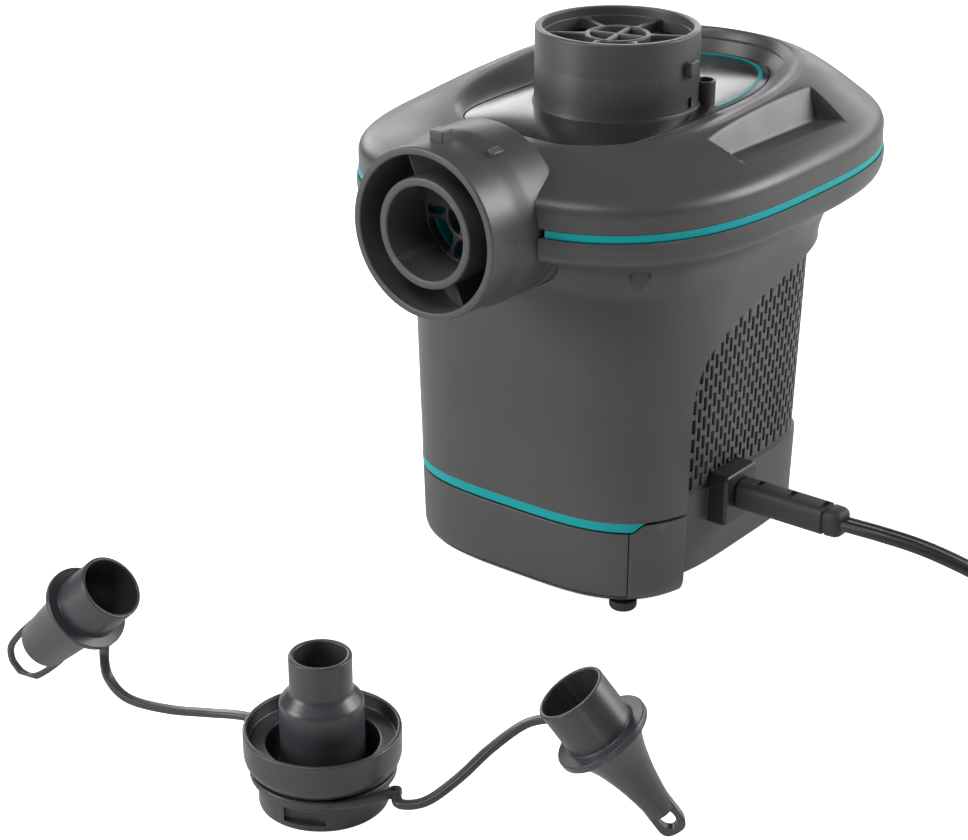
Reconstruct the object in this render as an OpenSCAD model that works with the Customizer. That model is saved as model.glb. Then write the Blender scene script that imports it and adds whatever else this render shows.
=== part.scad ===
// Electric air mattress pump: upright housing, wide head, two air ports, motor and fan,
// mains cord, and a tethered nozzle set that stands on the floor beside the pump.
// Origin: on the floor under the top port's axis. +Z up, -Y towards the front port.

/* [Body] */
// Width of the housing at its lower edge
body_w = 85.8; // [84:0.2:88]
// Depth of the housing at its lower edge
body_d = 88.2; // [87:0.2:90]
// Squareness of the housing's plan
body_n = 3.5; // [3.2:0.1:4]
// Squareness of the housing's rear half in plan
body_rear_n = 4.6; // [4.2:0.1:4.8]
// Outward lean of each side per millimetre of height
draft = 0.025; // [0.02:0.001:0.028]
// Thickness of the moulded walls
wall = 2.2; // [2:0.1:2.3]

/* [Head] */
// Width of the head at the coloured trim
head_w = 113.6; // [112:0.2:116]
// Depth of the head at the coloured trim
head_d = 137; // [136:0.2:139]
// Squareness of the head's plan
head_n = 2.9; // [2.8:0.05:3.1]
// Height of the deck between the raised rims
deck_z = 122.4; // [122.2:0.1:122.6]
// Height of the raised rim along the sides
rim_z = 127.5; // [126.5:0.1:128]

/* [Ports] */
// Outer radius of both ports
port_r = 21; // [20.8:0.1:21.1]
// Inner radius of both ports
port_bore_r = 19.1; // [18.9:0.1:19.2]
// Height of the top port's rim
inlet_top_z = 142; // [140:0.5:144]
// Distance of the front port's rim from the top port's axis
outlet_y = 78.3; // [77:0.1:80]
// Height of the front port's axis
outlet_z = 107.5; // [107.4:0.1:107.6]

/* [Motor] */
// Radius of the impeller
impeller_r = 33.5; // [32:0.1:34]
// Number of impeller blades
blade_count = 9; // [7:1:11]
// Radius of the motor shaft
shaft_r = 2.5; // [2.3:0.05:2.5]
// Radius of the armature core
armature_r = 14; // [13:0.1:14]

/* [Cord] */
// Length of the cord's strain relief boot
boot_l = 30; // [28:1:31]
// Width of the twin-core cable
cable_w = 5.2; // [5:0.1:5.4]
// Thickness of the twin-core cable
cable_t = 3.2; // [3:0.1:3.4]

/* [Nozzle set] */
// Outer radius of the adapter's cup
cup_r = 17.6; // [17.4:0.1:17.8]
// Height of the adapter's cup
cup_h = 18.2; // [18:0.1:19]
// Radius of the adapter's tube
hub_tube_r = 7; // [6.8:0.1:7]
// Height of the adapter's tube
hub_tube_h = 36.3; // [35.5:0.1:38]

/* [Hidden] */
$fn = 64;

ring_pts = 48;
gap = 0.15;
body_hw = body_w / 2;
body_hd = body_d / 2;
head_hw = head_w / 2;
head_hd = head_d / 2;
head_y = 4.7;

// Heights of the coloured trims and of the seams between the mouldings
lower_trim_z = 24.3;
lower_trim_h = 2.4;
base_top_z = 23.7;
chin_z = 2.6;
floor_z = 9;
rear_bottom_z = 8.5;
shoulder_z = 84;
band_bottom_z = 102.3;
upper_trim_z = 107.1;
upper_trim_h = 2.1;
cover_bottom_z = 109.3;
cover_wall_z = 115.6;

// Deck outline, which is rounder at the back than at the front
deck_hw = 26;
deck_y = 8;
deck_front = 48;
deck_back = 48.5;
deck_front_n = 5;
deck_back_n = 2.2;
deck_t = 1.6;
ledge_bottom_z = 118.4;

// Side grip recess in the right rim: its inner wall leans, and its floor runs out of the shoulder
grip_x = 38.7;
grip_foot_x = 41.8;
grip_front_y = -17.3;
grip_back_y = 28.5;
grip_floor_z = 118.6;

// Edge of the rear cover, seen from the side
rear_edge_y = -24;
rear_recess = 1.3;

plum = [0.27, 0.27, 0.28];
charcoal = [0.2, 0.2, 0.21];
teal = [0.06, 0.62, 0.64];
steel = [0.72, 0.73, 0.75];
copper = [0.75, 0.42, 0.2];
black = [0.08, 0.08, 0.09];

// ---- Shape helpers ----
function spow(v, e) = sign(v) * pow(abs(v), e);
function clamp01(t) = max(0, min(1, t));
function smooth(t) = clamp01(t) * clamp01(t) * (3 - 2 * clamp01(t));
function mix(a, b, t) = a + (b - a) * t;
function step_angle(i, m) = 360 * i / m;

// Squared-off oval outline at height z, with its own squareness for the rear half
function squared(a, b, n, rear_n, cy, z, m = ring_pts) = [for (i = [0:m - 1])
    let (c = cos(step_angle(i, m)), s = sin(step_angle(i, m)), e = 2 / (s > 0 ? rear_n : n))
    [a * spow(c, e), cy + b * spow(s, e), z]];
function oval(a, b, n, cy, z) = squared(a, b, n, n, cy, z);

function circle_ring(r, z, m = ring_pts) = [for (i = [0:m - 1])
    [r * cos(step_angle(i, m)), r * sin(step_angle(i, m)), z]];

// Outline of the deck, grown outwards by off
function deck_ring(z, off = 0, m = ring_pts) = [for (i = [0:m - 1])
    let (c = cos(step_angle(i, m)), s = sin(step_angle(i, m)),
        n = s < 0 ? deck_front_n : deck_back_n, d = s < 0 ? deck_front : deck_back)
    [(deck_hw + off) * spow(c, 2 / n), deck_y + (d + off) * spow(s, 2 / n), z]];

function head_ring(z, off = 0) = oval(head_hw + off, head_hd + off, head_n, head_y, z);
function body_ring(z, off = 0) = squared(body_hw + draft * (z - 25.5) + off,
    body_hd + draft * (z - 25.5) + off, body_n, body_rear_n, 0, z);
function flat(ring) = [for (p = ring) [p[0], p[1]]];

// Side triangles between rings; a closed stack joins its last ring to its first
function side_faces(k, m) = [for (j = [0:k - 2], i = [0:m - 1])
    [j * m + i, (j + 1) * m + i, (j + 1) * m + (i + 1) % m, j * m + (i + 1) % m]];

module loft(rings) {
    m = len(rings[0]);
    k = len(rings);
    polyhedron([for (r = rings) each r], concat([[for (i = [0:m - 1]) i]], side_faces(k, m),
        [[for (i = [m - 1:-1:0]) (k - 1) * m + i]]), convexity = 8);
}

module ring_loft(rings) {
    loop = concat(rings, [rings[0]]);
    m = len(rings[0]);
    k = len(rings);
    polyhedron([for (r = rings) each r],
        [for (j = [0:k - 1], i = [0:m - 1]) [j * m + i, ((j + 1) % k) * m + i,
        ((j + 1) % k) * m + (i + 1) % m, j * m + (i + 1) % m]], convexity = 8);
}

// Crest of the head's rim, which is rounder than the head's edge
crest_hw = 38.5;
crest_front = 50;
crest_back = 55.3;
crest_n = 2.2;
function crest_ring(z, off = 0, m = ring_pts) = [for (i = [0:m - 1])
    let (c = cos(step_angle(i, m)), s = sin(step_angle(i, m)), d = s < 0 ? crest_front : crest_back)
    [(crest_hw + off) * spow(c, 2 / crest_n), head_y + (d + off) * spow(s, 2 / crest_n), z]];

// The rim rises from the front to the back. The shoulder is a long slope that rounds off
// at the crest, and a shorter slope leads down to the deck.
function rim_height(y) = mix(rim_z - 4.5, rim_z + 0.9, smooth((y + 60) / 115));
function shoulder_share(t) = t * (1.25 - 0.25 * t * t * t);
function inner_share(t) = 1 - smooth((t - 0.2) / 0.8);

// Ring on the shoulder, a share t of the way from the edge to the crest, lowered by off
function shoulder_ring(t, off = 0) =
    let (edge = head_ring(0, -0.3 - off), crest = crest_ring(0))
    [for (i = [0:ring_pts - 1]) let (y = mix(edge[i][1], crest[i][1], t))
        [mix(edge[i][0], crest[i][0], t), y,
        cover_wall_z + (rim_height(y) - cover_wall_z) * shoulder_share(t) - off]];

// Ring on the inner slope, a share t of the way from the crest to the deck
function inner_ring(t, off = 0) =
    let (crest = crest_ring(0), deck = deck_ring(0, off))
    [for (i = [0:ring_pts - 1]) let (y = mix(crest[i][1], deck[i][1], t))
        [mix(crest[i][0], deck[i][0], t), y,
        deck_z + (rim_height(y) - deck_z) * inner_share(t) - off]];

function catmull(p, t) =
    let (k = len(p) - 1, s = min(floor(t * k), k - 1), u = t * k - s,
        a = p[max(s - 1, 0)], b = p[s], c = p[s + 1], d = p[min(s + 2, k)])
    0.5 * (2 * b + (c - a) * u + (2 * a - 5 * b + 4 * c - d) * u * u
        + (3 * b - a - 3 * c + d) * u * u * u);

function unit(v) = v / norm(v);

// Strand with an oval section w wide and h high that follows the points of path
module strand(path, w, h, steps, sides = 8) {
    rings = [for (j = [0:steps])
        let (t = j / steps, p = catmull(path, t),
            d = unit(catmull(path, min(1, t + 0.01)) - catmull(path, max(0, t - 0.01))),
            across = unit(cross([0, 0, 1], d)), up = cross(d, across))
        [for (i = [0:sides - 1]) let (a = 360 * (i + 0.5) / sides)
            p + across * (w / 2 * cos(a)) + up * (h / 2 * sin(a))]];
    loft([for (j = [0:steps]) [for (i = [0:sides - 1]) rings[j][i]]]);
}

module rounded_rect(w, h, r) {
    square([w - 2 * r, h], center = true);
    square([w, h - 2 * r], center = true);
    for (x = [-1, 1], y = [-1, 1])
        translate([x * (w / 2 - r), y * (h / 2 - r)])
            circle(r);
}

module tube(r_out, r_in, h) {
    difference() {
        cylinder(h = h, r = r_out);
        translate([0, 0, -1])
            cylinder(h = h + 2, r = r_in);
    }
}

// Part of a ring between two angles
module arc_block(r_out, r_in, h, from, to) {
    rotate([0, 0, from])
        rotate_extrude(angle = to - from)
            translate([r_in, 0])
                square([r_out - r_in, h]);
}

// Turns a shape that stands on Z so that it points to the front along -Y
module to_front() {
    translate([0, 0, outlet_z])
        rotate([90, 0, 0])
            children();
}

// ---- Head ----
shoulder_steps = [0, 0.05, 0.15, 0.33, 0.52, 0.7, 0.86, 1];
inner_steps = [0.3, 0.5, 0.7, 0.87, 1];
outlet_root_r = 22;
outlet_hole_r = outlet_root_r + gap;

function cover_outside(off = 0) = concat([head_ring(cover_bottom_z, -off), head_ring(113, -0.1 - off)],
    [for (t = shoulder_steps) shoulder_ring(t, off)], [for (t = inner_steps) inner_ring(t, off)]);

module top_cover() {
    inner_side = cover_outside(wall);
    last = len(inner_side) - 1;
    color(plum)
        difference() {
            union() {
                ring_loft(concat(cover_outside(),
                    [deck_ring(deck_z - deck_t - 0.1), circle_ring(port_r + 0.3, deck_z - deck_t - 0.1),
                    circle_ring(port_r + 0.3, ledge_bottom_z), deck_ring(ledge_bottom_z, wall)],
                    [for (i = [last - 1:-1:2]) inner_side[i]], [inner_side[0]]));
                intersection() {
                    loft(cover_outside(0.05));
                    grip_prism(wall);
                }
            }
            grip_prism(0);
            to_front()
                cylinder(h = 90, r = outlet_hole_r);
        }
}

// Room inside the grip recess, or the block it is sunk in when grown by the wall
module grip_prism(grow) {
    translate([0, grip_back_y + grow, 0])
        rotate([90, 0, 0])
            linear_extrude(grip_back_y - grip_front_y + 2 * grow)
                polygon([[grip_x - grow, 140], [grip_x - grow, rim_z - 2], [grip_foot_x - grow, grip_floor_z - grow],
                    [60, grip_floor_z - grow + 1.2], [60, 140]]);
}

module deck_plate() {
    color(plum)
        difference() {
            translate([0, 0, deck_z - deck_t])
                linear_extrude(deck_t)
                    polygon(flat(deck_ring(0, -0.2)));
            translate([0, 0, deck_z - deck_t - 1])
                cylinder(h = 4, r = port_r + gap);
            deck_trim_shape(0.1);
        }
}

// Coloured line let into the deck, round its back right corner
trim_line_w = 1.2;
trim_line_t = 0.8;
module deck_trim_shape(grow = 0) {
    pts = [for (a = [8:6:104]) let (c = cos(a), s = sin(a))
        [(deck_hw - 2.2) * spow(c, 2 / deck_back_n), deck_y + (deck_back - 2.2) * spow(s, 2 / deck_back_n)]];
    inner = [for (a = [104:-6:8]) let (c = cos(a), s = sin(a))
        [(deck_hw - 2.2 - trim_line_w) * spow(c, 2 / deck_back_n),
        deck_y + (deck_back - 2.2 - trim_line_w) * spow(s, 2 / deck_back_n)]];
    translate([0, 0, deck_z - trim_line_t - grow])
        linear_extrude(trim_line_t + 2 * grow)
            polygon(concat(pts, inner));
}

module deck_trim() {
    color(teal)
        translate([0, 0, 0.1])
            intersection() {
                deck_trim_shape();
                translate([0, 0, deck_z - 5])
                    cylinder(h = 10, r = 80);
            }
}

// Top port with its grille, retaining flange and bayonet lugs
inlet_flange_r = 26;
inlet_flange_z = 116.3;
grille_z = 136.4;
grille_h = 2.6;
rib_w = 1.5;

module grille(r_wall, h, ring_r, inner_ribs, outer_ribs) {
    linear_extrude(h) {
        difference() {
            circle(ring_r + rib_w);
            circle(ring_r);
        }
        for (i = [0:inner_ribs - 1])
            rotate(20 + 360 * i / inner_ribs)
                translate([0, -rib_w / 2])
                    square([ring_r + 0.5, rib_w]);
        for (i = [0:outer_ribs - 1])
            rotate(50 + 360 * i / outer_ribs)
                translate([ring_r + 0.7, -rib_w / 2])
                    square([r_wall - ring_r, rib_w]);
    }
}

module inlet_port() {
    color(plum) {
        difference() {
            union() {
                translate([0, 0, inlet_flange_z])
                    cylinder(h = 2, r = inlet_flange_r);
                translate([0, 0, inlet_flange_z])
                    cylinder(h = inlet_top_z - inlet_flange_z, r = port_r);
                for (a = [3, 183])
                    arc_z(a, 5, 3.9, 132, 1.8);
            }
            translate([0, 0, inlet_flange_z - 1])
                cylinder(h = inlet_top_z, r = port_bore_r - 0.8);
            translate([0, 0, grille_z + grille_h + 0.1])
                cylinder(h = 20, r = port_bore_r);
        }
        translate([0, 0, grille_z])
            grille(port_bore_r - 0.8, grille_h, 7.2, 4, 6);
    }
}

// Lug that stands proud on a port's wall at angle a
module arc_z(a, width_deg, h, z, proud) {
    translate([0, 0, z])
        arc_block(port_r + proud, port_r - 0.6, h, a - width_deg, a + width_deg);
}

// Front port: outer collar, inner nozzle tube, two ramps and a grille, in one moulding
outlet_root_y = 65;
outlet_back_y = 45.5;
nozzle_r = 13.6;
nozzle_bore_r = 11.4;
duct_bore_r = 12;
grille_front_y = 62.6;
duct_end_y = 48;
web_y = 60;
module outlet_port() {
    color(plum)
        to_front() {
            difference() {
                union() {
                    translate([0, 0, outlet_root_y - 0.1])
                        cylinder(h = outlet_y - outlet_root_y + 0.1, r = port_r);
                    translate([0, 0, outlet_back_y])
                        cylinder(h = outlet_root_y - outlet_back_y, r = outlet_root_r);
                    translate([0, 0, outlet_y - 10.5])
                        arc_block(port_r + 2.6, port_r - 0.6, 4.2, 86, 98);
                    translate([0, 0, outlet_root_y + 0.2])
                        arc_block(port_r + 1.2, port_r - 0.6, 3.6, 55, 66);
                }
                translate([0, 0, web_y])
                    cylinder(h = 40, r = port_bore_r);
                translate([0, 0, outlet_back_y - 1])
                    cylinder(h = web_y - outlet_back_y - 0.8, r = port_bore_r);
                translate([0, 0, outlet_back_y - 1])
                    cylinder(h = 60, r = nozzle_r - 0.5);
            }
            translate([0, 0, grille_front_y])
                tube(nozzle_r, nozzle_bore_r, outlet_y - 0.7 - grille_front_y);
            translate([0, 0, duct_end_y])
                tube(nozzle_r, duct_bore_r, grille_front_y - duct_end_y + 0.1);
            for (a = [58, 238])
                translate([0, 0, web_y - 0.3])
                    arc_block(port_bore_r + 0.4, nozzle_r - 0.4, 12.5, a, a + 58);
            translate([0, 0, grille_front_y - 1.8])
                grille(duct_bore_r, 1.8, 4.4, 3, 6);
        }
}

// Coloured sleeve in the air duct behind the front grille
module outlet_liner() {
    color(teal)
        to_front()
            translate([0, 0, duct_end_y + 0.6])
                tube(duct_bore_r - gap, duct_bore_r - 1.2, grille_front_y - duct_end_y - 2.8);
}

module upper_trim() {
    color(teal)
        difference() {
            ring_loft([head_ring(upper_trim_z), head_ring(upper_trim_z + 0.3, 0.3),
                head_ring(upper_trim_z + upper_trim_h - 0.3, 0.3),
                head_ring(upper_trim_z + upper_trim_h),
                head_ring(upper_trim_z + upper_trim_h, -2), head_ring(upper_trim_z, -2)]);
            to_front()
                cylinder(h = 90, r = outlet_hole_r);
        }
}

// ---- Housing ----
// Side view of the rear cover's opening, as points along Y and Z
function rear_edge_points(grow) = [[rear_edge_y - grow, -5], [rear_edge_y - grow, 52],
    [rear_edge_y + 1 - grow, 60 + grow], [rear_edge_y + 4 - grow, 67 + grow],
    [rear_edge_y + 10, 73 + grow], [rear_edge_y + 20, 77 + grow],
    [rear_edge_y + 40, 82 + grow], [rear_edge_y + 60, 85 + grow], [80, 86 + grow], [80, -5]];

module rear_region(grow) {
    rotate([90, 0, 90])
        translate([0, 0, -60])
            linear_extrude(120)
                polygon(rear_edge_points(grow));
}

module main_housing() {
    outer = [body_ring(lower_trim_z + lower_trim_h + gap), body_ring(shoulder_z),
        squared(45.6, 46.9, 3.5, 4.3, 0, 90), squared(47, 48.6, 3.4, 3.9, 0.3, 94),
        squared(50, 53.5, 3.2, 3.5, 1.4, 96.6), squared(54.2, 63, 3, 3.1, 3.9, 99.4),
        head_ring(band_bottom_z), head_ring(upper_trim_z - 0.5)];
    inner = [head_ring(upper_trim_z - 0.5, -wall), head_ring(band_bottom_z + 0.8, -wall),
        squared(53, 60.8, 3, 3.1, 3.9, 101.4), squared(48.6, 51.3, 3.2, 3.5, 1.4, 98.6),
        squared(44.9, 46.4, 3.4, 3.9, 0.3, 95.2), squared(43.4, 44.6, 3.5, 4.3, 0, 90.6),
        body_ring(shoulder_z, -wall), body_ring(lower_trim_z + lower_trim_h + gap, -wall)];
    color(plum)
        difference() {
            ring_loft(concat(outer, inner));
            rear_region(0);
            to_front()
                cylinder(h = 90, r = outlet_hole_r);
            for (p = head_screw_spots)
                translate([p[0], p[1], 88])
                    cylinder(h = 15, r = 2.9);
        }
}

// Vent slots: staggered columns on both sides
vent_pitch_y = 6.6;
vent_slot_h = 11;
vent_slot_w = 2;
module vent_slots() {
    for (side = [-1, 1], col = [0:6], row = [0:2])
        let (y = -17 + col * vent_pitch_y, z = 34 + row * 13.5 + (col % 2) * 3)
            if (z + vent_slot_h < 68 + (y + 20) * 0.3)
                translate([side * 42 - 4, y, z])
                    cube([8, vent_slot_w, vent_slot_h]);
}

module rear_cover() {
    color(charcoal)
        difference() {
            intersection() {
                ring_loft([body_ring(rear_bottom_z, -rear_recess), body_ring(87, -rear_recess),
                    body_ring(87, -rear_recess - wall), body_ring(rear_bottom_z, -rear_recess - wall)]);
                rear_region(-0.3);
            }
            vent_slots();
            translate([0, 44, switch_z])
                cube([switch_w - 1.8, 20, switch_h - 1.8], center = true);
            translate([30, cord_y - 3, cord_z - 3])
                cube([20, 6, 6]);
        }
}

module lower_trim() {
    z0 = lower_trim_z;
    z1 = lower_trim_z + lower_trim_h;
    color(teal)
        intersection() {
            ring_loft([body_ring(z0, 0.1), body_ring(z1, 0.1), body_ring(z1, -wall), body_ring(z0, -wall)]);
            translate([-36, -60, z0 - 1])
                cube([72, 40, 5]);
        }
}

// Base: a deep front chin that steps up to a flat floor behind it
module base_cover() {
    color(plum)
        difference() {
            union() {
                intersection() {
                    loft([body_ring(chin_z, -4), body_ring(chin_z + 1, -1.6), body_ring(chin_z + 4, 0),
                        body_ring(base_top_z), body_ring(base_top_z, -wall),
                        body_ring(floor_z, -wall), body_ring(chin_z + 2.2, -5)]);
                    translate([-60, -60, 0])
                        cube([120, 60 + rear_edge_y - 0.3, 40]);
                }
                difference() {
                    translate([0, 0, floor_z])
                        linear_extrude(wall)
                            polygon(flat(body_ring(floor_z, -rear_recess - wall - 0.4)));
                    translate([-60, -100, 0])
                        cube([120, 100 + rear_edge_y - 1, 40]);
                }
                translate([-32, rear_edge_y - 2.5, chin_z])
                    cube([64, 2.2, floor_z + wall - chin_z]);
                for (p = base_screw_spots)
                    translate([p[0], p[1], floor_z])
                        cylinder(h = 12, r = 3.4);
            }
            for (p = base_screw_spots) {
                translate([p[0], p[1], 0])
                    cylinder(h = 40, r = 1.6);
                translate([p[0], p[1], 0])
                    cylinder(h = floor_z + 3, r = 2.9);
            }
            for (p = foot_spots)
                translate([p[0], p[1], 0])
                    cylinder(h = p[2] + 1, r = 2.2);
            badge_shape(0.1);
        }
}

badge_w = 66.8;
badge_bottom_z = 5.2;
module badge_shape(grow) {
    intersection() {
        ring_loft([body_ring(badge_bottom_z - grow, 3), body_ring(base_top_z + 1, 3),
            body_ring(base_top_z + 1, -0.9 - grow), body_ring(badge_bottom_z - grow, -0.9 - grow)]);
        translate([-badge_w / 2 - grow, -60, 0])
            cube([badge_w + 2 * grow, 40, 40]);
    }
}

module badge_panel() {
    color(charcoal)
        intersection() {
            badge_shape(0);
            translate([0, 0, 3])
                linear_extrude(base_top_z - 3.1)
                    polygon(flat(body_ring(10)));
        }
}

// Two short feet under the chin and two tall ones behind, as x, y and top height
foot_spots = [[-24, -30, chin_z], [29, -33.5, chin_z], [-23, 29, floor_z], [23, 29, floor_z]];
module feet() {
    color(black)
        for (p = foot_spots)
            translate([p[0], p[1], 0]) {
                cylinder(h = p[2] - 0.1, r = 3.6);
                cylinder(h = p[2] + 0.7, r = 2.1);
            }
}

// ---- Fasteners ----
head_screw_spots = [[-37.3, -42.2], [37.3, -42.2], [-37, 46], [37, 46]];
base_screw_spots = [[-26, -12], [26, -12], [-28, 10], [28, 10]];

module pan_screw(r_head, h_head, r_shank, l_shank) {
    difference() {
        cylinder(h = h_head, r = r_head);
        for (a = [0, 90])
            rotate([0, 0, a])
                cube([r_head * 1.3, 0.7, 1.6], center = true);
    }
    translate([0, 0, h_head - 0.01])
        cylinder(h = l_shank, r = r_shank);
}

module head_screws() {
    color(steel)
        for (p = head_screw_spots)
            translate([p[0], p[1], 98.6])
                pan_screw(2.4, 1.8, 1.4, 12);
}

module base_screws() {
    color(steel)
        for (p = base_screw_spots)
            translate([p[0], p[1], floor_z + 1])
                pan_screw(2.6, 1.8, 1.4, 12);
}

// ---- Fan ----
volute_floor_z = 95.4;
volute_top_z = 113.4;
volute_t = 1.8;
function volute_r(a) = 35.6 + 4.4 * ((a + 450) % 360) / 360;
function volute_outline(grow) = [for (i = [0:59]) let (a = -84 + 6 * i)
    [(volute_r(a) + grow) * cos(a), (volute_r(a) + grow) * sin(a)]];
duct_hw = 13.2;
duct_front_y = 45;

module volute_case() {
    color(charcoal)
        difference() {
            union() {
                translate([0, 0, volute_floor_z])
                    linear_extrude(volute_top_z - volute_floor_z)
                        polygon(volute_outline(1.8));
                translate([-duct_hw, -duct_front_y, outlet_z - duct_hw])
                    cube([2 * duct_hw, 16, volute_top_z - outlet_z + duct_hw]);
                for (p = lid_screw_spots)
                    translate([p[0], p[1], volute_top_z - 8])
                        cylinder(h = 8, r = 3);
            }
            translate([0, 0, volute_floor_z + volute_t])
                linear_extrude(30)
                    polygon(volute_outline(0));
            translate([0, 0, volute_floor_z - 1])
                cylinder(h = 5, r = 4);
            translate([0, -20, outlet_z])
                rotate([90, 0, 0])
                    cylinder(h = 30, r = duct_bore_r);
            for (p = lid_screw_spots)
                translate([p[0], p[1], volute_top_z - 7])
                    cylinder(h = 8, r = 1.3);
            for (p = bracket_spots)
                translate([p[0], p[1], volute_floor_z - 1])
                    cylinder(h = 4, r = 1.7);
        }
}

lid_screw_spots = [[29.5, 29.5], [-36.5, 21], [-38, -22], [34.5, -23.5]];
eye_r = 17.5;
module volute_lid() {
    color(charcoal)
        translate([0, 0, volute_top_z + 0.05])
            linear_extrude(volute_t)
                difference() {
                    union() {
                        polygon(volute_outline(1.8));
                        for (p = lid_screw_spots)
                            translate(p)
                                circle(3);
                    }
                    circle(eye_r);
                    for (p = lid_screw_spots)
                        translate(p)
                            circle(1.3);
                }
}

module lid_screws() {
    color(steel)
        for (p = lid_screw_spots)
            translate([p[0], p[1], volute_top_z + volute_t + 0.1])
                mirror([0, 0, 1])
                    translate([0, 0, -1.6])
                        pan_screw(2.4, 1.6, 1.2, 8);
}

module port_seal() {
    color(black)
        translate([0, 0, volute_top_z + volute_t + 0.1])
            tube(25, 20.4, inlet_flange_z - volute_top_z - volute_t - 0.2);
}

impeller_z = 98.6;
impeller_h = 13.6;
plate_t = 1.6;
hub_r = 7;

// Outline of one backward-curved blade
function blade_side(off, from, to) = [for (i = [0:6])
    let (t = mix(from, to, i / 6), r = mix(hub_r + 6, impeller_r - 0.6, t), a = -48 * t)
    [r * cos(a) - off * sin(a), r * sin(a) + off * cos(a)]];

module impeller() {
    color(teal)
        difference() {
            union() {
                translate([0, 0, impeller_z])
                    cylinder(h = plate_t, r = impeller_r);
                translate([0, 0, impeller_z])
                    cylinder(h = impeller_h - 2, r = hub_r);
                for (i = [0:blade_count - 1])
                    rotate([0, 0, 360 * i / blade_count])
                        translate([0, 0, impeller_z + plate_t - 0.1])
                            linear_extrude(impeller_h - 2 * plate_t + 0.2)
                                polygon(concat(blade_side(-0.7, 0, 1), blade_side(0.7, 1, 0)));
                translate([0, 0, impeller_z + impeller_h - plate_t])
                    tube(impeller_r, 18, plate_t);
            }
            translate([0, 0, impeller_z - 1])
                cylinder(h = 20, r = shaft_r + 0.02);
        }
}

module impeller_nut() {
    color(steel)
        translate([0, 0, impeller_z + impeller_h - 1.9])
            difference() {
                cylinder(h = 3, r = 4.4, $fn = 6);
                translate([0, 0, -1])
                    cylinder(h = 6, r = shaft_r + 0.02);
            }
}

// ---- Motor ----
core_z = 40;
core_h = 24;
bore_r = armature_r + 0.5;
lower_bearing_z = 16;
upper_bearing_z = 76;
bearing_h = 5;
bearing_r = 8;

module motor_shaft() {
    color(steel)
        translate([0, 0, 13])
            cylinder(h = 101, r = shaft_r);
}

module armature_core() {
    color(steel)
        translate([0, 0, core_z])
            difference() {
                cylinder(h = core_h, r = armature_r);
                for (i = [0:11])
                    rotate([0, 0, 30 * i])
                        translate([armature_r - 5, -0.9, -1])
                            cube([6, 1.8, core_h + 2]);
                translate([0, 0, -1])
                    cylinder(h = core_h + 2, r = shaft_r + 0.02);
            }
}

module armature_winding() {
    color(copper)
        for (z = [core_z - 5.1, core_z + core_h + 0.1])
            translate([0, 0, z])
                difference() {
                    cylinder(h = 5, r = armature_r - 1.2);
                    translate([0, 0, -1])
                        cylinder(h = 8, r = shaft_r + 0.8);
                }
}

commutator_r = 9;
commutator_z = 24;
commutator_h = 9;
module commutator() {
    color(copper)
        translate([0, 0, commutator_z])
            difference() {
                cylinder(h = commutator_h, r = commutator_r);
                for (i = [0:11])
                    rotate([0, 0, 30 * i + 15])
                        translate([commutator_r - 1, -0.25, -1])
                            cube([3, 0.5, commutator_h + 2]);
                translate([0, 0, -1])
                    cylinder(h = commutator_h + 2, r = shaft_r + 0.02);
            }
}

stator_hw = 27;
stator_hd = 24;
module stator_core() {
    color(steel)
        translate([0, 0, core_z])
            difference() {
                linear_extrude(core_h)
                    rounded_rect(2 * stator_hw, 2 * stator_hd, 8);
                translate([0, 0, -1])
                    cylinder(h = core_h + 2, r = bore_r);
                for (side = [-1, 1], wing = [-1, 1])
                    translate([side * 16 - 4.5, wing * 11.5 - 4, -1])
                        cube([9, 8, core_h + 2]);
                for (p = bracket_spots)
                    translate([p[0], p[1], -1])
                        cylinder(h = core_h + 2, r = 1.8);
            }
}

// Each coil is a loop through two slots and over the ends of the core
module field_coils() {
    color(copper)
        for (side = [-1, 1]) {
            for (wing = [-1, 1])
                translate([side * 16 - 4, wing * 11.5 - 3.5, core_z - 4.5])
                    cube([8, 7, core_h + 9]);
            for (z = [core_z - 4.5, core_z + core_h + 0.5])
                translate([side * 17.6 - 2.4, -9, z])
                    cube([4.8, 18, 4]);
        }
}

module bearing(z) {
    color(steel)
        translate([0, 0, z])
            tube(bearing_r - 0.05, shaft_r + 0.05, bearing_h);
}

module upper_bearing() {
    bearing(upper_bearing_z);
}

module lower_bearing() {
    bearing(lower_bearing_z);
}

bracket_spots = [[20.5, 20], [-20.5, 20], [20.5, -20], [-20.5, -20]];

// Cross-shaped bracket with a cup for the bearing
module bracket_cross(cup_h, plate_h) {
    difference() {
        union() {
            cylinder(h = cup_h, r = bearing_r + 2);
            for (a = [1, -1])
                rotate([0, 0, a * 44.3])
                    translate([-28.6, -4, 0])
                        cube([57.2, 8, plate_h]);
            for (p = bracket_spots)
                translate([p[0], p[1], 0])
                    cylinder(h = plate_h, r = 4.4);
        }
        for (p = bracket_spots)
            translate([p[0], p[1], -1])
                cylinder(h = plate_h + 2, r = 1.8);
    }
}

module upper_bracket() {
    color(charcoal)
        difference() {
            union() {
                translate([0, 0, upper_bearing_z - 2])
                    bracket_cross(bearing_h + 3, 4);
                for (p = bracket_spots)
                    translate([p[0], p[1], core_z + core_h + 0.05])
                        tube(4.4, 1.8, upper_bearing_z - 2 - core_z - core_h);
            }
            translate([0, 0, upper_bearing_z])
                cylinder(h = 20, r = bearing_r);
            translate([0, 0, upper_bearing_z - 5])
                cylinder(h = 20, r = shaft_r + 1);
        }
}

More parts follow.
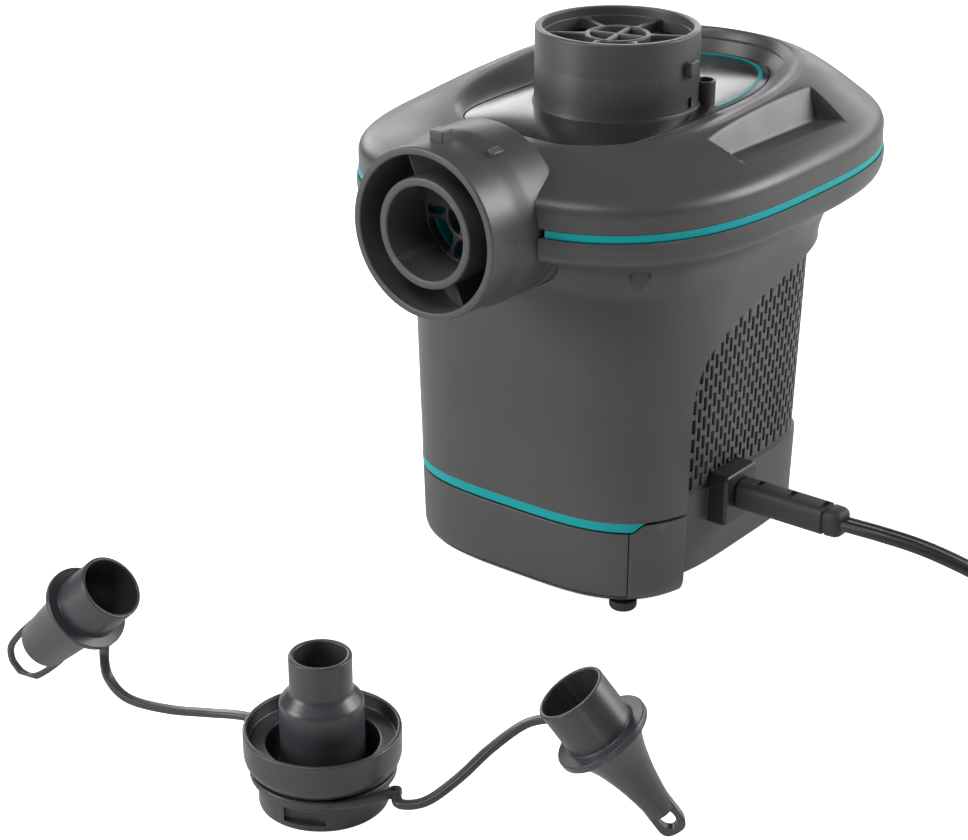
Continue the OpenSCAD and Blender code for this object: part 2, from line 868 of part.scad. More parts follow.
module lower_bracket() {
    color(charcoal)
        difference() {
            union() {
                translate([0, 0, lower_bearing_z - 2])
                    bracket_cross(bearing_h + 2, 4);
                for (p = bracket_spots)
                    translate([p[0], p[1], lower_bearing_z + 1])
                        tube(4.4, 1.8, core_z - lower_bearing_z - 1.05);
            }
            translate([0, 0, lower_bearing_z])
                cylinder(h = 20, r = bearing_r);
            translate([0, 0, lower_bearing_z - 5])
                cylinder(h = 20, r = shaft_r + 1);
        }
}

// Long screws that clamp the brackets and the core to the fan case
module bracket_screws() {
    color(steel)
        for (p = bracket_spots)
            translate([p[0], p[1], lower_bearing_z - 4])
                pan_screw(3.2, 1.9, 1.5, volute_floor_z + 1 - lower_bearing_z + 2);
}

brush_z = 28.5;
module brush_holders() {
    color(charcoal)
        for (side = [0, 180])
            rotate([0, 0, side])
                difference() {
                    translate([-4, 10, brush_z - 4])
                        cube([8, 15, 8]);
                    translate([-2.6, 0, brush_z - 2.6])
                        cube([5.2, 23.5, 5.2]);
                }
}

module brushes() {
    color(black)
        for (side = [0, 180])
            rotate([0, 0, side])
                translate([-2.5, commutator_r + 0.1, brush_z - 2.5])
                    cube([5, 8, 5]);
}

module brush_springs() {
    color(steel)
        for (side = [0, 180], i = [0:3])
            rotate([0, 0, side])
                translate([0, 17.4 + i * 1.6, brush_z])
                    rotate([90, 0, 0])
                        rotate_extrude()
                            translate([1.7, 0])
                                circle(0.3, $fn = 16);
}

// Rubber sleeves between the motor and the fan case
module motor_mounts() {
    color(black)
        for (p = bracket_spots)
            translate([p[0], p[1], upper_bearing_z + 2.1])
                tube(4, 1.8, volute_floor_z - upper_bearing_z - 2.2);
}

module thermal_fuse() {
    color(steel)
        translate([-31, -5, core_z + 6])
            cylinder(h = 12, r = 2);
}

module wiring() {
    color("saddlebrown") {
        strand([[-31, -5, 59], [-31.5, 2, 68], [-31, 21, 74], [-17, 32.5, 74], [-4, 31.8, 68]], 1.8, 1.8, 16, 6);
        strand([[4, 31.8, 60], [14, 32.5, 50], [27, 28, 34], [33, 14, 24], [36.5, cord_y + 1.2, cord_z]],
            1.8, 1.8, 16, 6);
        strand([[36.5, cord_y - 1.2, cord_z], [34.5, -13, 31], [30, -20, 35], [24, -25, 36], [8, -29, 31]],
            1.8, 1.8, 16, 6);
    }
}

// ---- Switch ----
switch_w = 15;
switch_h = 21;
switch_z = 62;
switch_face_y = body_hd + draft * (switch_z - 25.5) - rear_recess;
rocker_w = 10.6;
rocker_l = 16.4;
rocker_tilt = 9;
pivot_r = 1.2;

module switch_frame() {
    color(black)
        difference() {
            union() {
                translate([0, switch_face_y + 1.4, switch_z])
                    cube([switch_w, 2, switch_h], center = true);
                translate([0, switch_face_y - 5, switch_z])
                    cube([switch_w - 2, 11, switch_h - 2], center = true);
            }
            translate([0, switch_face_y + 1.2, switch_z])
                cube([rocker_w + 0.6, 11, rocker_l + 1], center = true);
            rocker_pivot(pivot_r + 0.15, switch_w);
        }
}

module rocker_pivot(r, l) {
    translate([-l / 2, switch_face_y, switch_z])
        rotate([0, 90, 0])
            cylinder(h = l, r = r);
}

// Side view of the rocker about its pivot, with two faces that meet in a shallow valley
module switch_rocker() {
    color(charcoal) {
        translate([0, switch_face_y, switch_z])
            rotate([rocker_tilt, 0, 0])
                rotate([90, 0, 90])
                    translate([0, 0, -rocker_w / 2])
                        linear_extrude(rocker_w)
                            polygon([[-1.5, -rocker_l / 2 + 0.8], [3.6, -rocker_l / 2 + 0.1], [2.4, 0],
                                [3.6, rocker_l / 2 - 0.1], [-1.5, rocker_l / 2 - 0.8], [-3, 0]]);
        rocker_pivot(pivot_r, rocker_w + 1.5);
    }
}

// ---- Cord ----
cord_y = -6.3;
cord_z = 27.8;
anchor_x = body_hw - rear_recess + 0.3;
anchor_l = 4.7;
boot_x = anchor_x + anchor_l + 0.3;
boot_w = 7.4;

module cord_anchor() {
    color(charcoal)
        difference() {
            translate([anchor_x, cord_y - 7.5, cord_z - 7.4])
                cube([anchor_l, 14.8, 13.8]);
            translate([anchor_x - 5, cord_y, cord_z])
                rotate([0, 90, 0])
                    cylinder(h = 20, r = 3.1);
        }
}

module boot_section(from, l, w) {
    translate([0, 0, from])
        linear_extrude(l)
            rounded_rect(w, w, 2);
}

module cord_boot() {
    color(black)
        translate([boot_x, cord_y, cord_z])
            rotate([90, 0, 90])
                difference() {
                    union() {
                        boot_section(0, boot_l - 4.8, boot_w);
                        boot_section(boot_l - 5, 1.2, boot_w - 0.9);
                        boot_section(boot_l - 4, 4, boot_w - 0.2);
                    }
                    translate([0, 0, -1])
                        linear_extrude(boot_l + 2)
                            rounded_rect(cable_w + 0.2, cable_t + 0.2, 1.6);
                    for (i = [0:2])
                        translate([0, boot_w / 2 + 0.3, 4.8 + 9.7 * i])
                            cube([3.4, 2, 1.3], center = true);
                }
}

// The cord droops to the floor, lies there in an S and ends in its plug
lay_z = cable_t / 2;
plug_z = 7;
cord_path = [[boot_x + 0.6, cord_y, cord_z], [boot_x + boot_l / 2, cord_y, cord_z],
    [boot_x + boot_l, cord_y, cord_z], [87, -5.4, 27.6], [97, -3.2, 26.2], [107, -0.4, 23.2],
    [117, 3.6, 18.4], [126, 8.4, 13], [135, 14, 7.6], [143, 21, 3.4], [149.5, 30.5, lay_z],
    [151.5, 42, lay_z], [146, 52.5, lay_z], [134.5, 58.5, lay_z], [121, 62, lay_z], [108.5, 68, lay_z],
    [103, 79, lay_z], [107.5, 91, lay_z], [119, 98, lay_z], [133, 99.5, lay_z + 0.2],
    [146, 98.8, 3.8], [156, 98.2, 6.2], [163, 98, plug_z], [172, 98, plug_z]];

module power_cord() {
    color(black)
        strand(cord_path, cable_w, cable_t, 120, 8);
}

module plug_frame() {
    translate([166, 98, plug_z])
        children();
}

plug_w = 35.3;
plug_t = 13.7;
pin_spacing = 18.6;
pin_r = 2;
pin_root_r = 2.6;
module plug_body() {
    color(black)
        plug_frame()
            difference() {
                translate([0, 0, -plug_t / 2])
                    linear_extrude(plug_t)
                        polygon([[0, -5], [1, -5.6], [9, -6.2], [17, -14], [21, -16.8], [24, -plug_w / 2],
                            [33, -plug_w / 2], [34, -plug_w / 2 + 1], [34, plug_w / 2 - 1], [33, plug_w / 2],
                            [24, plug_w / 2], [21, 16.8], [17, 14], [9, 6.2], [1, 5.6], [0, 5]]);
                translate([-1, 0, 0])
                    rotate([90, 0, 90])
                        linear_extrude(8)
                            rounded_rect(cable_w + 0.6, cable_t + 0.6, 1.8);
                for (y = [-pin_spacing / 2, pin_spacing / 2])
                    translate([24, y, 0])
                        rotate([0, 90, 0])
                            cylinder(h = 20, r = pin_root_r + 0.05);
            }
}

module plug_pins() {
    color(steel)
        plug_frame()
            for (y = [-pin_spacing / 2, pin_spacing / 2])
                translate([24.2, y, 0])
                    rotate([0, 90, 0]) {
                        cylinder(h = 9.7, r = pin_root_r);
                        cylinder(h = 28, r = pin_r);
                        translate([0, 0, 28])
                            cylinder(h = 0.8, r1 = pin_r, r2 = 1.2);
                    }
}

// ---- Nozzle set ----
hub_x = 27.3;
hub_y = -147.6;
skirt_r = 15;

module at_hub() {
    translate([hub_x, hub_y, 0])
        children();
}

module adapter_hub() {
    color(charcoal)
        at_hub()
            difference() {
                rotate_extrude()
                    polygon([[12.9, 0], [14.2, 0.4], [skirt_r - 0.4, 1.6], [skirt_r - 0.4, 6.6],
                        [skirt_r - 1, 6.8], [skirt_r - 1, 8.8], [skirt_r + 1.6, 9.4], [cup_r - 0.2, 11],
                        [cup_r, 12.2], [cup_r, cup_h - 0.4], [cup_r - 0.4, cup_h], [cup_r - 0.7, cup_h],
                        [cup_r - 1.1, cup_h - 0.4], [cup_r - 1.1, 15], [12.6, 14.4], [12.6, 5.4],
                        [9.7, 5.4], [9.7, 3.6], [12.9, 3.6]]);
                for (a = [-115, 65])
                    translate([0, 0, 2])
                        arc_block(20, 12.8, 3.6, a, a + 46);
                for (a = [-20, 160])
                    translate([0, 0, 13])
                        arc_block(cup_r - 1.2, 12.5, 3, a, a + 60);
            }
}

module adapter_tube() {
    color(charcoal)
        at_hub()
            rotate_extrude()
                polygon([[7.9, 3.7], [9.6, 3.7], [9.6, 5.5], [9.4, 5.6], [9.4, 24.6], [9.1, 25.6], [8.2, 26.8],
                    [hub_tube_r, 27.8], [hub_tube_r, hub_tube_h - 0.4], [hub_tube_r - 0.3, hub_tube_h],
                    [hub_tube_r - 0.9, hub_tube_h], [hub_tube_r - 1.2, hub_tube_h - 0.4],
                    [hub_tube_r - 1.2, 26.8], [7.9, 24.4]]);
}

band_z = 6.95;
band_h = 1.7;
band_r = 16.4;
left_root = [-16.6, 6.2];
right_root = [16.9, 1.6];

module tether_band() {
    color(charcoal)
        at_hub() {
            translate([0, 0, band_z])
                tube(band_r, skirt_r - 0.9, band_h);
            for (p = [left_root, right_root])
                translate([p[0] * 0.94, p[1] * 0.94, band_z])
                    cylinder(h = band_h, r = 1.6);
        }
}

// Each tether starts with a round end beside its root on the band
left_path = [[-3, 141.6, 6.6], [-12, 143.6, 5], [-22, 147.2, 4], [-32, 150.2, 4.6], [-38.5, 150.8, 7.6],
    [-41.8, 150, 11.2]];
right_path = [[49.6, 147.6, 6.8], [54.5, 144.6, 8], [58.2, 138, 12], [61.2, 130.5, 17], [66, 124.2, 22],
    [72.6, 121.4, 24.6]];

function front_side(path) = [for (p = path) [p[0], -p[1], p[2]]];

module left_tether() {
    root = [hub_x + left_root[0] * 1.14, hub_y + left_root[1] * 1.14, 7.8];
    color(charcoal)
        strand(concat([root], front_side(left_path)), 2.2, 1.7, 24, 8);
}

module right_tether() {
    root = [hub_x + right_root[0] * 1.14, hub_y + right_root[1] * 1.14, 7.8];
    color(charcoal)
        strand(concat([root], front_side(right_path)), 2.2, 1.7, 24, 8);
}

// A nozzle's own frame has its tip at the origin and its mouth up the Z axis
module lean(tip, azimuth, tilt) {
    translate(tip)
        rotate([0, 0, azimuth])
            rotate([0, tilt, 0])
                children();
}

module nozzle_collar(z, h) {
    translate([0, 0, z])
        difference() {
            union() {
                cylinder(h = 1.6, r = 10.6);
                cylinder(h = h, r = 7.9);
            }
            translate([0, 0, -1])
                cylinder(h = h + 2, r = 7.05);
        }
}

// Wide nozzle: a short tapered barrel with a wire-thin pull loop
module left_nozzle() {
    color(charcoal)
        lean([-69.4, -152.8, 1], 9, 46.3) {
            nozzle_collar(27.6, 12);
            rotate_extrude()
                polygon([[5.2, 8.8], [5.9, 8.8], [7.9, 27.7], [7.05, 27.7]]);
            difference() {
                rotate([90, 0, 0])
                    translate([0, 0, -0.8])
                        linear_extrude(1.6)
                            difference() {
                                union() {
                                    translate([0, 5.2])
                                        circle(5.2);
                                    translate([-5.6, 5.2])
                                        square([11.2, 6]);
                                }
                                translate([0, 5.2])
                                    circle(3.9);
                                translate([-4.2, 5.2])
                                    square([8.4, 7]);
                            }
            }
        }
}

// Narrow nozzle: a long flared spout that ends in a flat tab with a slot
module right_nozzle() {
    color(charcoal)
        lean([98, -111.7, 1], -142.1, 34.7) {
            nozzle_collar(27.2, 12.6);
            rotate_extrude()
                polygon([[2.2, 6], [3.1, 6], [3.7, 11], [4.6, 16], [6.1, 21.4], [8.6, 27.3], [7.05, 27.3],
                    [5.2, 21.6], [3.7, 16], [2.8, 11]]);
            rotate([90, 0, 0])
                translate([0, 0, -1.3])
                    linear_extrude(2.6)
                        difference() {
                            union() {
                                translate([0, 3])
                                    circle(3);
                                translate([-3, 3])
                                    square([6, 5]);
                            }
                            translate([0, 3])
                                circle(1.5);
                            translate([-1.5, 3])
                                square([3, 2.4]);
                        }
        }
}

top_cover();
deck_plate();
deck_trim();
inlet_port();
outlet_port();
outlet_liner();
upper_trim();
main_housing();
rear_cover();
lower_trim();
base_cover();
badge_panel();
feet();
head_screws();
base_screws();
volute_case();
volute_lid();
lid_screws();
port_seal();
impeller();
impeller_nut();
motor_shaft();
armature_core();
armature_winding();
commutator();
stator_core();
field_coils();
upper_bearing();
lower_bearing();
upper_bracket();
lower_bracket();
bracket_screws();
brush_holders();
brushes();
brush_springs();
motor_mounts();
thermal_fuse();
wiring();
switch_frame();
switch_rocker();
cord_anchor();
cord_boot();
power_cord();
plug_body();
plug_pins();
adapter_hub();
adapter_tube();
tether_band();
left_tether();
right_tether();
left_nozzle();
right_nozzle();
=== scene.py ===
"""Looks of the electric air mattress pump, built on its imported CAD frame."""
import math

import bmesh
import bpy
import numpy as np
from mathutils import Matrix, Vector


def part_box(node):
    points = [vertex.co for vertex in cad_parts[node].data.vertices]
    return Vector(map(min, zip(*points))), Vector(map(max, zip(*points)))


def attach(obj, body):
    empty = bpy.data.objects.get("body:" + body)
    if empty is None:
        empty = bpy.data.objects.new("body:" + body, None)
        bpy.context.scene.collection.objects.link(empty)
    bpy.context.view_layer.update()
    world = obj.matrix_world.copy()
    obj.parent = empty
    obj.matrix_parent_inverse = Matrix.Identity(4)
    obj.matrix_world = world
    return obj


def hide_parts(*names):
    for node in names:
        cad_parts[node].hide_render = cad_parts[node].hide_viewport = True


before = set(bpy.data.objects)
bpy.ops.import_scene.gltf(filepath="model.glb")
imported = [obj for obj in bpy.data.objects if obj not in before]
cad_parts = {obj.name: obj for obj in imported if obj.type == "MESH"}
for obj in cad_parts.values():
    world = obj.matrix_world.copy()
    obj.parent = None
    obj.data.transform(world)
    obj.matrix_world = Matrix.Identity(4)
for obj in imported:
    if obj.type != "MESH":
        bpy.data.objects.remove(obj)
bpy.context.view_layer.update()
MM = 0.001
TURN = 2 * math.pi


# ---------------------------------------------------------------- materials
def principled(name):
    material = bpy.data.materials.new(name)
    material.use_nodes = True
    tree = material.node_tree
    return material, tree, tree.nodes["Principled BSDF"]


def noise(tree, scale, detail=3.0, stretch=(1, 1, 1)):
    """Noise that is fixed to the object, with its scale in cycles per metre."""
    coords = tree.nodes.new("ShaderNodeTexCoord")
    mapping = tree.nodes.new("ShaderNodeMapping")
    texture = tree.nodes.new("ShaderNodeTexNoise")
    mapping.inputs["Scale"].default_value = stretch
    texture.inputs["Scale"].default_value = scale
    texture.inputs["Detail"].default_value = detail
    tree.links.new(coords.outputs["Object"], mapping.inputs["Vector"])
    tree.links.new(mapping.outputs["Vector"], texture.inputs["Vector"])
    return texture.outputs["Fac"]


def map_range(tree, value, start, end, low, high, kind="LINEAR"):
    """Maps a value from start..end on to low..high."""
    node = tree.nodes.new("ShaderNodeMapRange")
    node.interpolation_type = kind
    for name, limit in (("From Min", start), ("From Max", end), ("To Min", low), ("To Max", high)):
        node.inputs[name].default_value = limit
    tree.links.new(value, node.inputs["Value"])
    return node.outputs["Result"]


def spread(tree, value, low, high):
    """Maps a noise value, which is mostly near its middle, on to a range."""
    return map_range(tree, value, 0.3, 0.7, low, high)


def mix_colour(tree, factor, first, second):
    node = tree.nodes.new("ShaderNodeMix")
    node.data_type = "RGBA"
    tree.links.new(factor, node.inputs["Factor"])
    for socket, colour in ((node.inputs["A"], first), (node.inputs["B"], second)):
        if isinstance(colour, tuple):
            socket.default_value = (*colour, 1)
        else:
            tree.links.new(colour, socket)
    return node.outputs["Result"]


# Pointiness range over which convex edges lighten, and how far: partly wear, partly a painted highlight on
# edges.
FLAT_POINTINESS, EDGE_POINTINESS, EDGE_WEAR_AND_HIGHLIGHT = 0.52, 0.6, 0.35


def edge_wear_and_highlight_mask(tree):
    """Rises to its top value on convex edges, for a lighter line there: partly handling wear, partly a
    painted highlight where an edge catches light.
    """
    geometry = tree.nodes.new("ShaderNodeNewGeometry")
    return map_range(tree, geometry.outputs["Pointiness"], FLAT_POINTINESS, EDGE_POINTINESS, 0, EDGE_WEAR_AND_HIGHLIGHT)


def add_bump(tree, shader, height, strength, distance):
    bump = tree.nodes.new("ShaderNodeBump")
    bump.inputs["Strength"].default_value = strength
    bump.inputs["Distance"].default_value = distance
    tree.links.new(height, bump.inputs["Height"])
    tree.links.new(bump.outputs["Normal"], shader.inputs["Normal"])


def moulded(name, colour, roughness, grain=1500, grain_depth=0.00002, variation=0.12, wear_and_highlight=True,
            specular=0.5):
    """Moulded plastic: fine grain, cloudy roughness, faint colour clouds and lighter edges, partly wear and
    partly painted highlight.
    """
    material, tree, shader = principled(name)
    light = tuple(min(1, c * (1 + variation)) for c in colour)
    dark = tuple(c * (1 - variation) for c in colour)
    base = mix_colour(tree, noise(tree, 38, 4), dark, light)
    if wear_and_highlight:
        # Painted highlight and wear: convex edges lightened towards a paler copy of the colour.
        base = mix_colour(tree, edge_wear_and_highlight_mask(tree), base, tuple(min(1, c * 1.8 + 0.02) for c in colour))
    tree.links.new(base, shader.inputs["Base Color"])
    tree.links.new(spread(tree, noise(tree, 90, 5), roughness * 0.9, roughness * 1.12),
                   shader.inputs["Roughness"])
    shader.inputs["Specular IOR Level"].default_value = specular
    add_bump(tree, shader, noise(tree, grain, 2), 0.5, grain_depth)
    return material


def machined(name, colour, roughness, stretch=(1, 1, 14)):
    """Turned or drawn metal with fine streaks and a few duller patches."""
    material, tree, shader = principled(name)
    shader.inputs["Metallic"].default_value = 1
    base = mix_colour(tree, noise(tree, 60, 4), tuple(c * 0.82 for c in colour), colour)
    tree.links.new(base, shader.inputs["Base Color"])
    tree.links.new(spread(tree, noise(tree, 300, 4, stretch), roughness * 0.7, roughness * 1.4),
                   shader.inputs["Roughness"])
    add_bump(tree, shader, noise(tree, 900, 3, stretch), 0.25, 0.00003)
    return material


PLUM = moulded("casing_plastic", (0.062, 0.059, 0.060), 0.40)
PANEL = moulded("panel_plastic", (0.058, 0.055, 0.056), 0.43)
DECK = moulded("deck_gloss", (0.014, 0.014, 0.015), 0.22, grain_depth=0.000003)
TEAL = moulded("teal_plastic", (0.002, 0.33, 0.35), 0.42, variation=0.05, wear_and_highlight=False, specular=0.25)
NOZZLE = moulded("nozzle_plastic", (0.040, 0.043, 0.048), 0.34)
BLACK = moulded("black_plastic", (0.013, 0.013, 0.014), 0.38)
RUBBER = moulded("black_rubber", (0.016, 0.016, 0.017), 0.6, grain=900)
CABLE = moulded("cable_sheath", (0.010, 0.010, 0.011), 0.42, grain=700)
STEEL = machined("bright_steel", (0.62, 0.63, 0.65), 0.3)
LAMINATED = machined("laminated_steel", (0.30, 0.30, 0.31), 0.5, (1, 1, 40))
COPPER = machined("enamelled_copper", (0.72, 0.30, 0.12), 0.35, (1, 1, 30))
CARBON = moulded("carbon_block", (0.02, 0.02, 0.02), 0.7, wear_and_highlight=False)
NICKEL = machined("nickel_pins", (0.70, 0.68, 0.64), 0.22, (14, 1, 1))

# The record's slot name for each material, body_plastic for the others. piece() only looks the name up;
# nothing assigns it.
SLOTS = {PANEL: "dark_plastic", TEAL: "teal_plastic", NOZZLE: "nozzle_plastic", BLACK: "black_plastic",
         RUBBER: "black_rubber", CABLE: "mains_cable", NICKEL: "steel"}


# ---------------------------------------------------------------- mesh helpers
SMOOTH_BELOW = math.radians(35)


def add_object(name, data):
    obj = bpy.data.objects.new(name, data)
    bpy.context.collection.objects.link(obj)
    return obj


def face_outwards(mesh):
    work = bmesh.new()
    work.from_mesh(mesh)
    bmesh.ops.recalc_face_normals(work, faces=work.faces)
    work.to_mesh(mesh)
    work.free()


def piece(name, points, faces, material, body="housing", slot=None, closed=True):
    """A mesh from points in millimetres, which moves with a CAD body."""
    mesh = bpy.data.meshes.new(name)
    mesh.from_pydata([tuple(float(c) * MM for c in p) for p in points], [], faces)
    mesh.validate()
    if closed:
        face_outwards(mesh)
    obj = add_object(name, mesh)
    mesh.materials.append(material)
    mesh.polygons.foreach_set("use_smooth", [True] * len(mesh.polygons))
    mesh.set_sharp_from_angle(angle=SMOOTH_BELOW)
    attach(obj, body)
    slot or SLOTS.get(material, "body_plastic")
    return obj


def shell(obj, thickness):
    """Turns a sheet into a wall that grows inwards."""
    solid = obj.modifiers.new("wall", "SOLIDIFY")
    solid.thickness = thickness * MM
    solid.offset = -1
    solid.use_even_offset = False


def bevel(obj, width, segments=2, angle=40):
    edge = obj.modifiers.new("edges", "BEVEL")
    edge.width = width * MM
    edge.segments = segments
    edge.limit_method = "ANGLE"
    edge.angle_limit = math.radians(angle)
    edge.harden_normals = False


def cut(obj, cutter_points, cutter_faces, solver="EXACT"):
    """Cuts a closed shape out of a closed piece for good."""
    mesh = bpy.data.meshes.new("cutter")
    mesh.from_pydata([tuple(float(c) * MM for c in p) for p in cutter_points], [], cutter_faces)
    face_outwards(mesh)
    cutter = add_object("cutter", mesh)
    boolean = obj.modifiers.new("cut", "BOOLEAN")
    boolean.operation = "DIFFERENCE"
    boolean.solver = solver
    boolean.object = cutter
    graph = bpy.context.evaluated_depsgraph_get()
    result = bpy.data.meshes.new_from_object(obj.evaluated_get(graph))
    obj.modifiers.clear()
    obj.data = result
    bpy.data.objects.remove(cutter)
    result.set_sharp_from_angle(angle=SMOOTH_BELOW)


def power(value, exponent):
    return np.sign(value) * np.abs(value) ** exponent


def oval(angles, half_w, half_d, n, centre_y=0.0, rear_n=None):
    """Squared-off oval in plan, as an array of x and y, with its own squareness for the rear half."""
    exponent = np.where(np.sin(angles) > 0, 2 / (rear_n or n), 2 / n)
    return np.column_stack([half_w * power(np.cos(angles), exponent),
                            centre_y + half_d * power(np.sin(angles), exponent)])


def even_angles(half_w, half_d, n, count, start=0.0, stop=TURN, closed=True, weight=None, rear_n=None):
    """Angles that divide an oval's outline into even lengths, or finer where weight is high."""
    dense = np.linspace(start, stop, 20001)
    points = oval(dense, half_w, half_d, n, rear_n=rear_n)
    lengths = np.linalg.norm(np.diff(points, axis=0), axis=1)
    if weight is not None:
        lengths = lengths * weight((points[1:] + points[:-1]) / 2)
    run = np.concatenate([[0], np.cumsum(lengths)])
    marks = np.linspace(0, run[-1], count, endpoint=not closed)
    return np.interp(marks, run, dense)


def smooth_step(t):
    t = np.clip(t, 0, 1)
    return t * t * (3 - 2 * t)


def blend_min(a, b, k):
    """The smaller of two heights, with the corner between them rounded over about k."""
    h = np.clip(0.5 + 0.5 * (b - a) / k, 0, 1)
    return b + (a - b) * h - k * h * (1 - h)


def blend_max(a, b, k):
    return -blend_min(-a, -b, k)


def curve_through(keys, value):
    """Smooth curve through rows of (position, value, value, ...)."""
    keys = np.array(keys, float)
    at, rows = keys[:, 0], keys[:, 1:]
    slopes = np.gradient(rows, at, axis=0)
    i = int(np.clip(np.searchsorted(at, value) - 1, 0, len(at) - 2))
    h = at[i + 1] - at[i]
    t = np.clip((value - at[i]) / h, 0, 1)
    return ((2 * t**3 - 3 * t**2 + 1) * rows[i] + (t**3 - 2 * t**2 + t) * h * slopes[i]
            + (-2 * t**3 + 3 * t**2) * rows[i + 1] + (t**3 - t**2) * h * slopes[i + 1])


def loft_faces(rings, count, closed_loop=False):
    """Quads between rings of count points. A closed loop joins the last ring to the first."""
    faces = []
    for j in range(rings if closed_loop else rings - 1):
        a, b = j * count, ((j + 1) % rings) * count
        faces += [(a + i, a + (i + 1) % count, b + (i + 1) % count, b + i) for i in range(count)]
    return faces


def loft(name, rings, material, closed_loop=False, caps=False, **options):
    count = len(rings[0])
    faces = loft_faces(len(rings), count, closed_loop)
    if caps:
        faces.append(tuple(range(count - 1, -1, -1)))
        faces.append(tuple(range((len(rings) - 1) * count, len(rings) * count)))
    return piece(name, np.concatenate(rings), faces, material, **options)


def revolve(name, profile, material, place=Matrix.Identity(4), segments=160, start=0.0, stop=TURN, **options):
    """Turns a closed profile of (radius, height) about the local Z axis."""
    full = abs(stop - start - TURN) < 1e-6
    count = segments if full else segments + 1
    angles = start + (stop - start) * np.arange(count) / segments
    points = []
    for angle in angles:
        points += [place @ Vector((r * math.cos(angle), r * math.sin(angle), h)) for r, h in profile]
    m = len(profile)
    faces = []
    for i in range(segments):
        a, b = i * m, ((i + 1) % count) * m
        faces += [(a + j, b + j, b + (j + 1) % m, a + (j + 1) % m) for j in range(m)]
    if not full:
        faces.append(tuple(range(m)))
        faces.append(tuple(range((count - 1) * m + m - 1, (count - 1) * m - 1, -1)))
    return piece(name, points, faces, material, **options)


def rounded(corners, radius, steps=4):
    """Closed outline with each corner rounded. A corner is (x, y) or (x, y, its own radius)."""
    points = []
    for i, corner in enumerate(corners):
        here = np.array(corner[:2], float)
        before = np.array(corners[i - 1][:2], float) - here
        after = np.array(corners[(i + 1) % len(corners)][:2], float) - here
        own = corner[2] if len(corner) > 2 else radius
        if own <= 0:
            points.append(tuple(here))
            continue
        near = min(own, np.linalg.norm(before) * 0.45, np.linalg.norm(after) * 0.45)
        a = here + before / np.linalg.norm(before) * near
        b = here + after / np.linalg.norm(after) * near
        for k in range(steps + 1):
            t = k / steps
            points.append(tuple((1 - t) ** 2 * a + 2 * t * (1 - t) * here + t * t * b))
    return points


def prism_faces(m):
    """The two ends of m points each, and the quads between them."""
    ends = [tuple(range(m - 1, -1, -1)), tuple(range(m, 2 * m))]
    return ends + [(i, (i + 1) % m, m + (i + 1) % m, m + i) for i in range(m)]


def prism(outline, low, high):
    """Points and faces of an outline that is extruded along Z."""
    points = [(x, y, z) for z in (low, high) for x, y in outline]
    return points, prism_faces(len(outline))


def block(name, outline, low, high, material, place=Matrix.Identity(4), edge=0.3, **options):
    points, faces = prism(outline, low, high)
    obj = piece(name, [place @ Vector(p) for p in points], faces, material, **options)
    bevel(obj, edge, 3)
    return obj


def box_outline(x0, x1, y0, y1):
    return [(x0, y0), (x1, y0), (x1, y1), (x0, y1)]


def circle(radius, count, x=0.0, y=0.0):
    angles = [TURN * i / count for i in range(count)]
    return [(x + radius * math.cos(a), y + radius * math.sin(a)) for a in angles]


def level(outline, z):
    """An outline in plan as a ring of points at height z."""
    return np.column_stack([outline, np.full(len(outline), z)])


def cut_box(obj, place, x, y, z):
    """Cuts out a box whose x and y limits turn with place. Its z limits are the object's own."""
    corners = [place @ Vector((u, v, 0)) for u, v in box_outline(*x, *y)]
    cut(obj, *prism([(c.x, c.y) for c in corners], *z))


def move(x, y, z):
    return Matrix.Translation((x, y, z))


def turn(degrees, axis):
    return Matrix.Rotation(math.radians(degrees), 4, axis)


def sheet(section, columns, rows, low, high, closed=False, skip=None):
    """Grid whose columns follow section(angle, z), cut off at heights low and high.

    low and high give the heights at the two sides of each strip, so an edge may step there.
    """
    points, faces, known = [], [], {}

    def vertex(i, z):
        key = (i, round(z, 4))
        if key not in known:
            known[key] = len(points)
            points.append(section(columns[i], z))
        return known[key]

    count = len(columns)
    for i in range(count if closed else count - 1):
        j = (i + 1) % count
        bottom, top = low(i), high(i)
        shared = [z for z in rows if max(bottom) + 0.05 < z < min(top) - 0.05]
        if not shared:
            continue
        left_low = [z for z in rows if bottom[0] + 0.05 < z < shared[0]]
        right_low = [z for z in rows if bottom[1] + 0.05 < z < shared[0]]
        left_top = [z for z in rows if shared[-1] < z < top[0] - 0.05]
        right_top = [z for z in rows if shared[-1] < z < top[1] - 0.05]
        faces.append([vertex(i, bottom[0]), vertex(j, bottom[1])] + [vertex(j, z) for z in right_low]
                     + [vertex(j, shared[0]), vertex(i, shared[0])] + [vertex(i, z) for z in left_low[::-1]])
        for z0, z1 in zip(shared, shared[1:]):
            if skip is None or not skip(i, z0, z1):
                faces.append([vertex(i, z0), vertex(j, z0), vertex(j, z1), vertex(i, z1)])
        faces.append([vertex(i, shared[-1]), vertex(j, shared[-1])] + [vertex(j, z) for z in right_top]
                     + [vertex(j, top[1]), vertex(i, top[0])] + [vertex(i, z) for z in left_top[::-1]])
    return points, faces


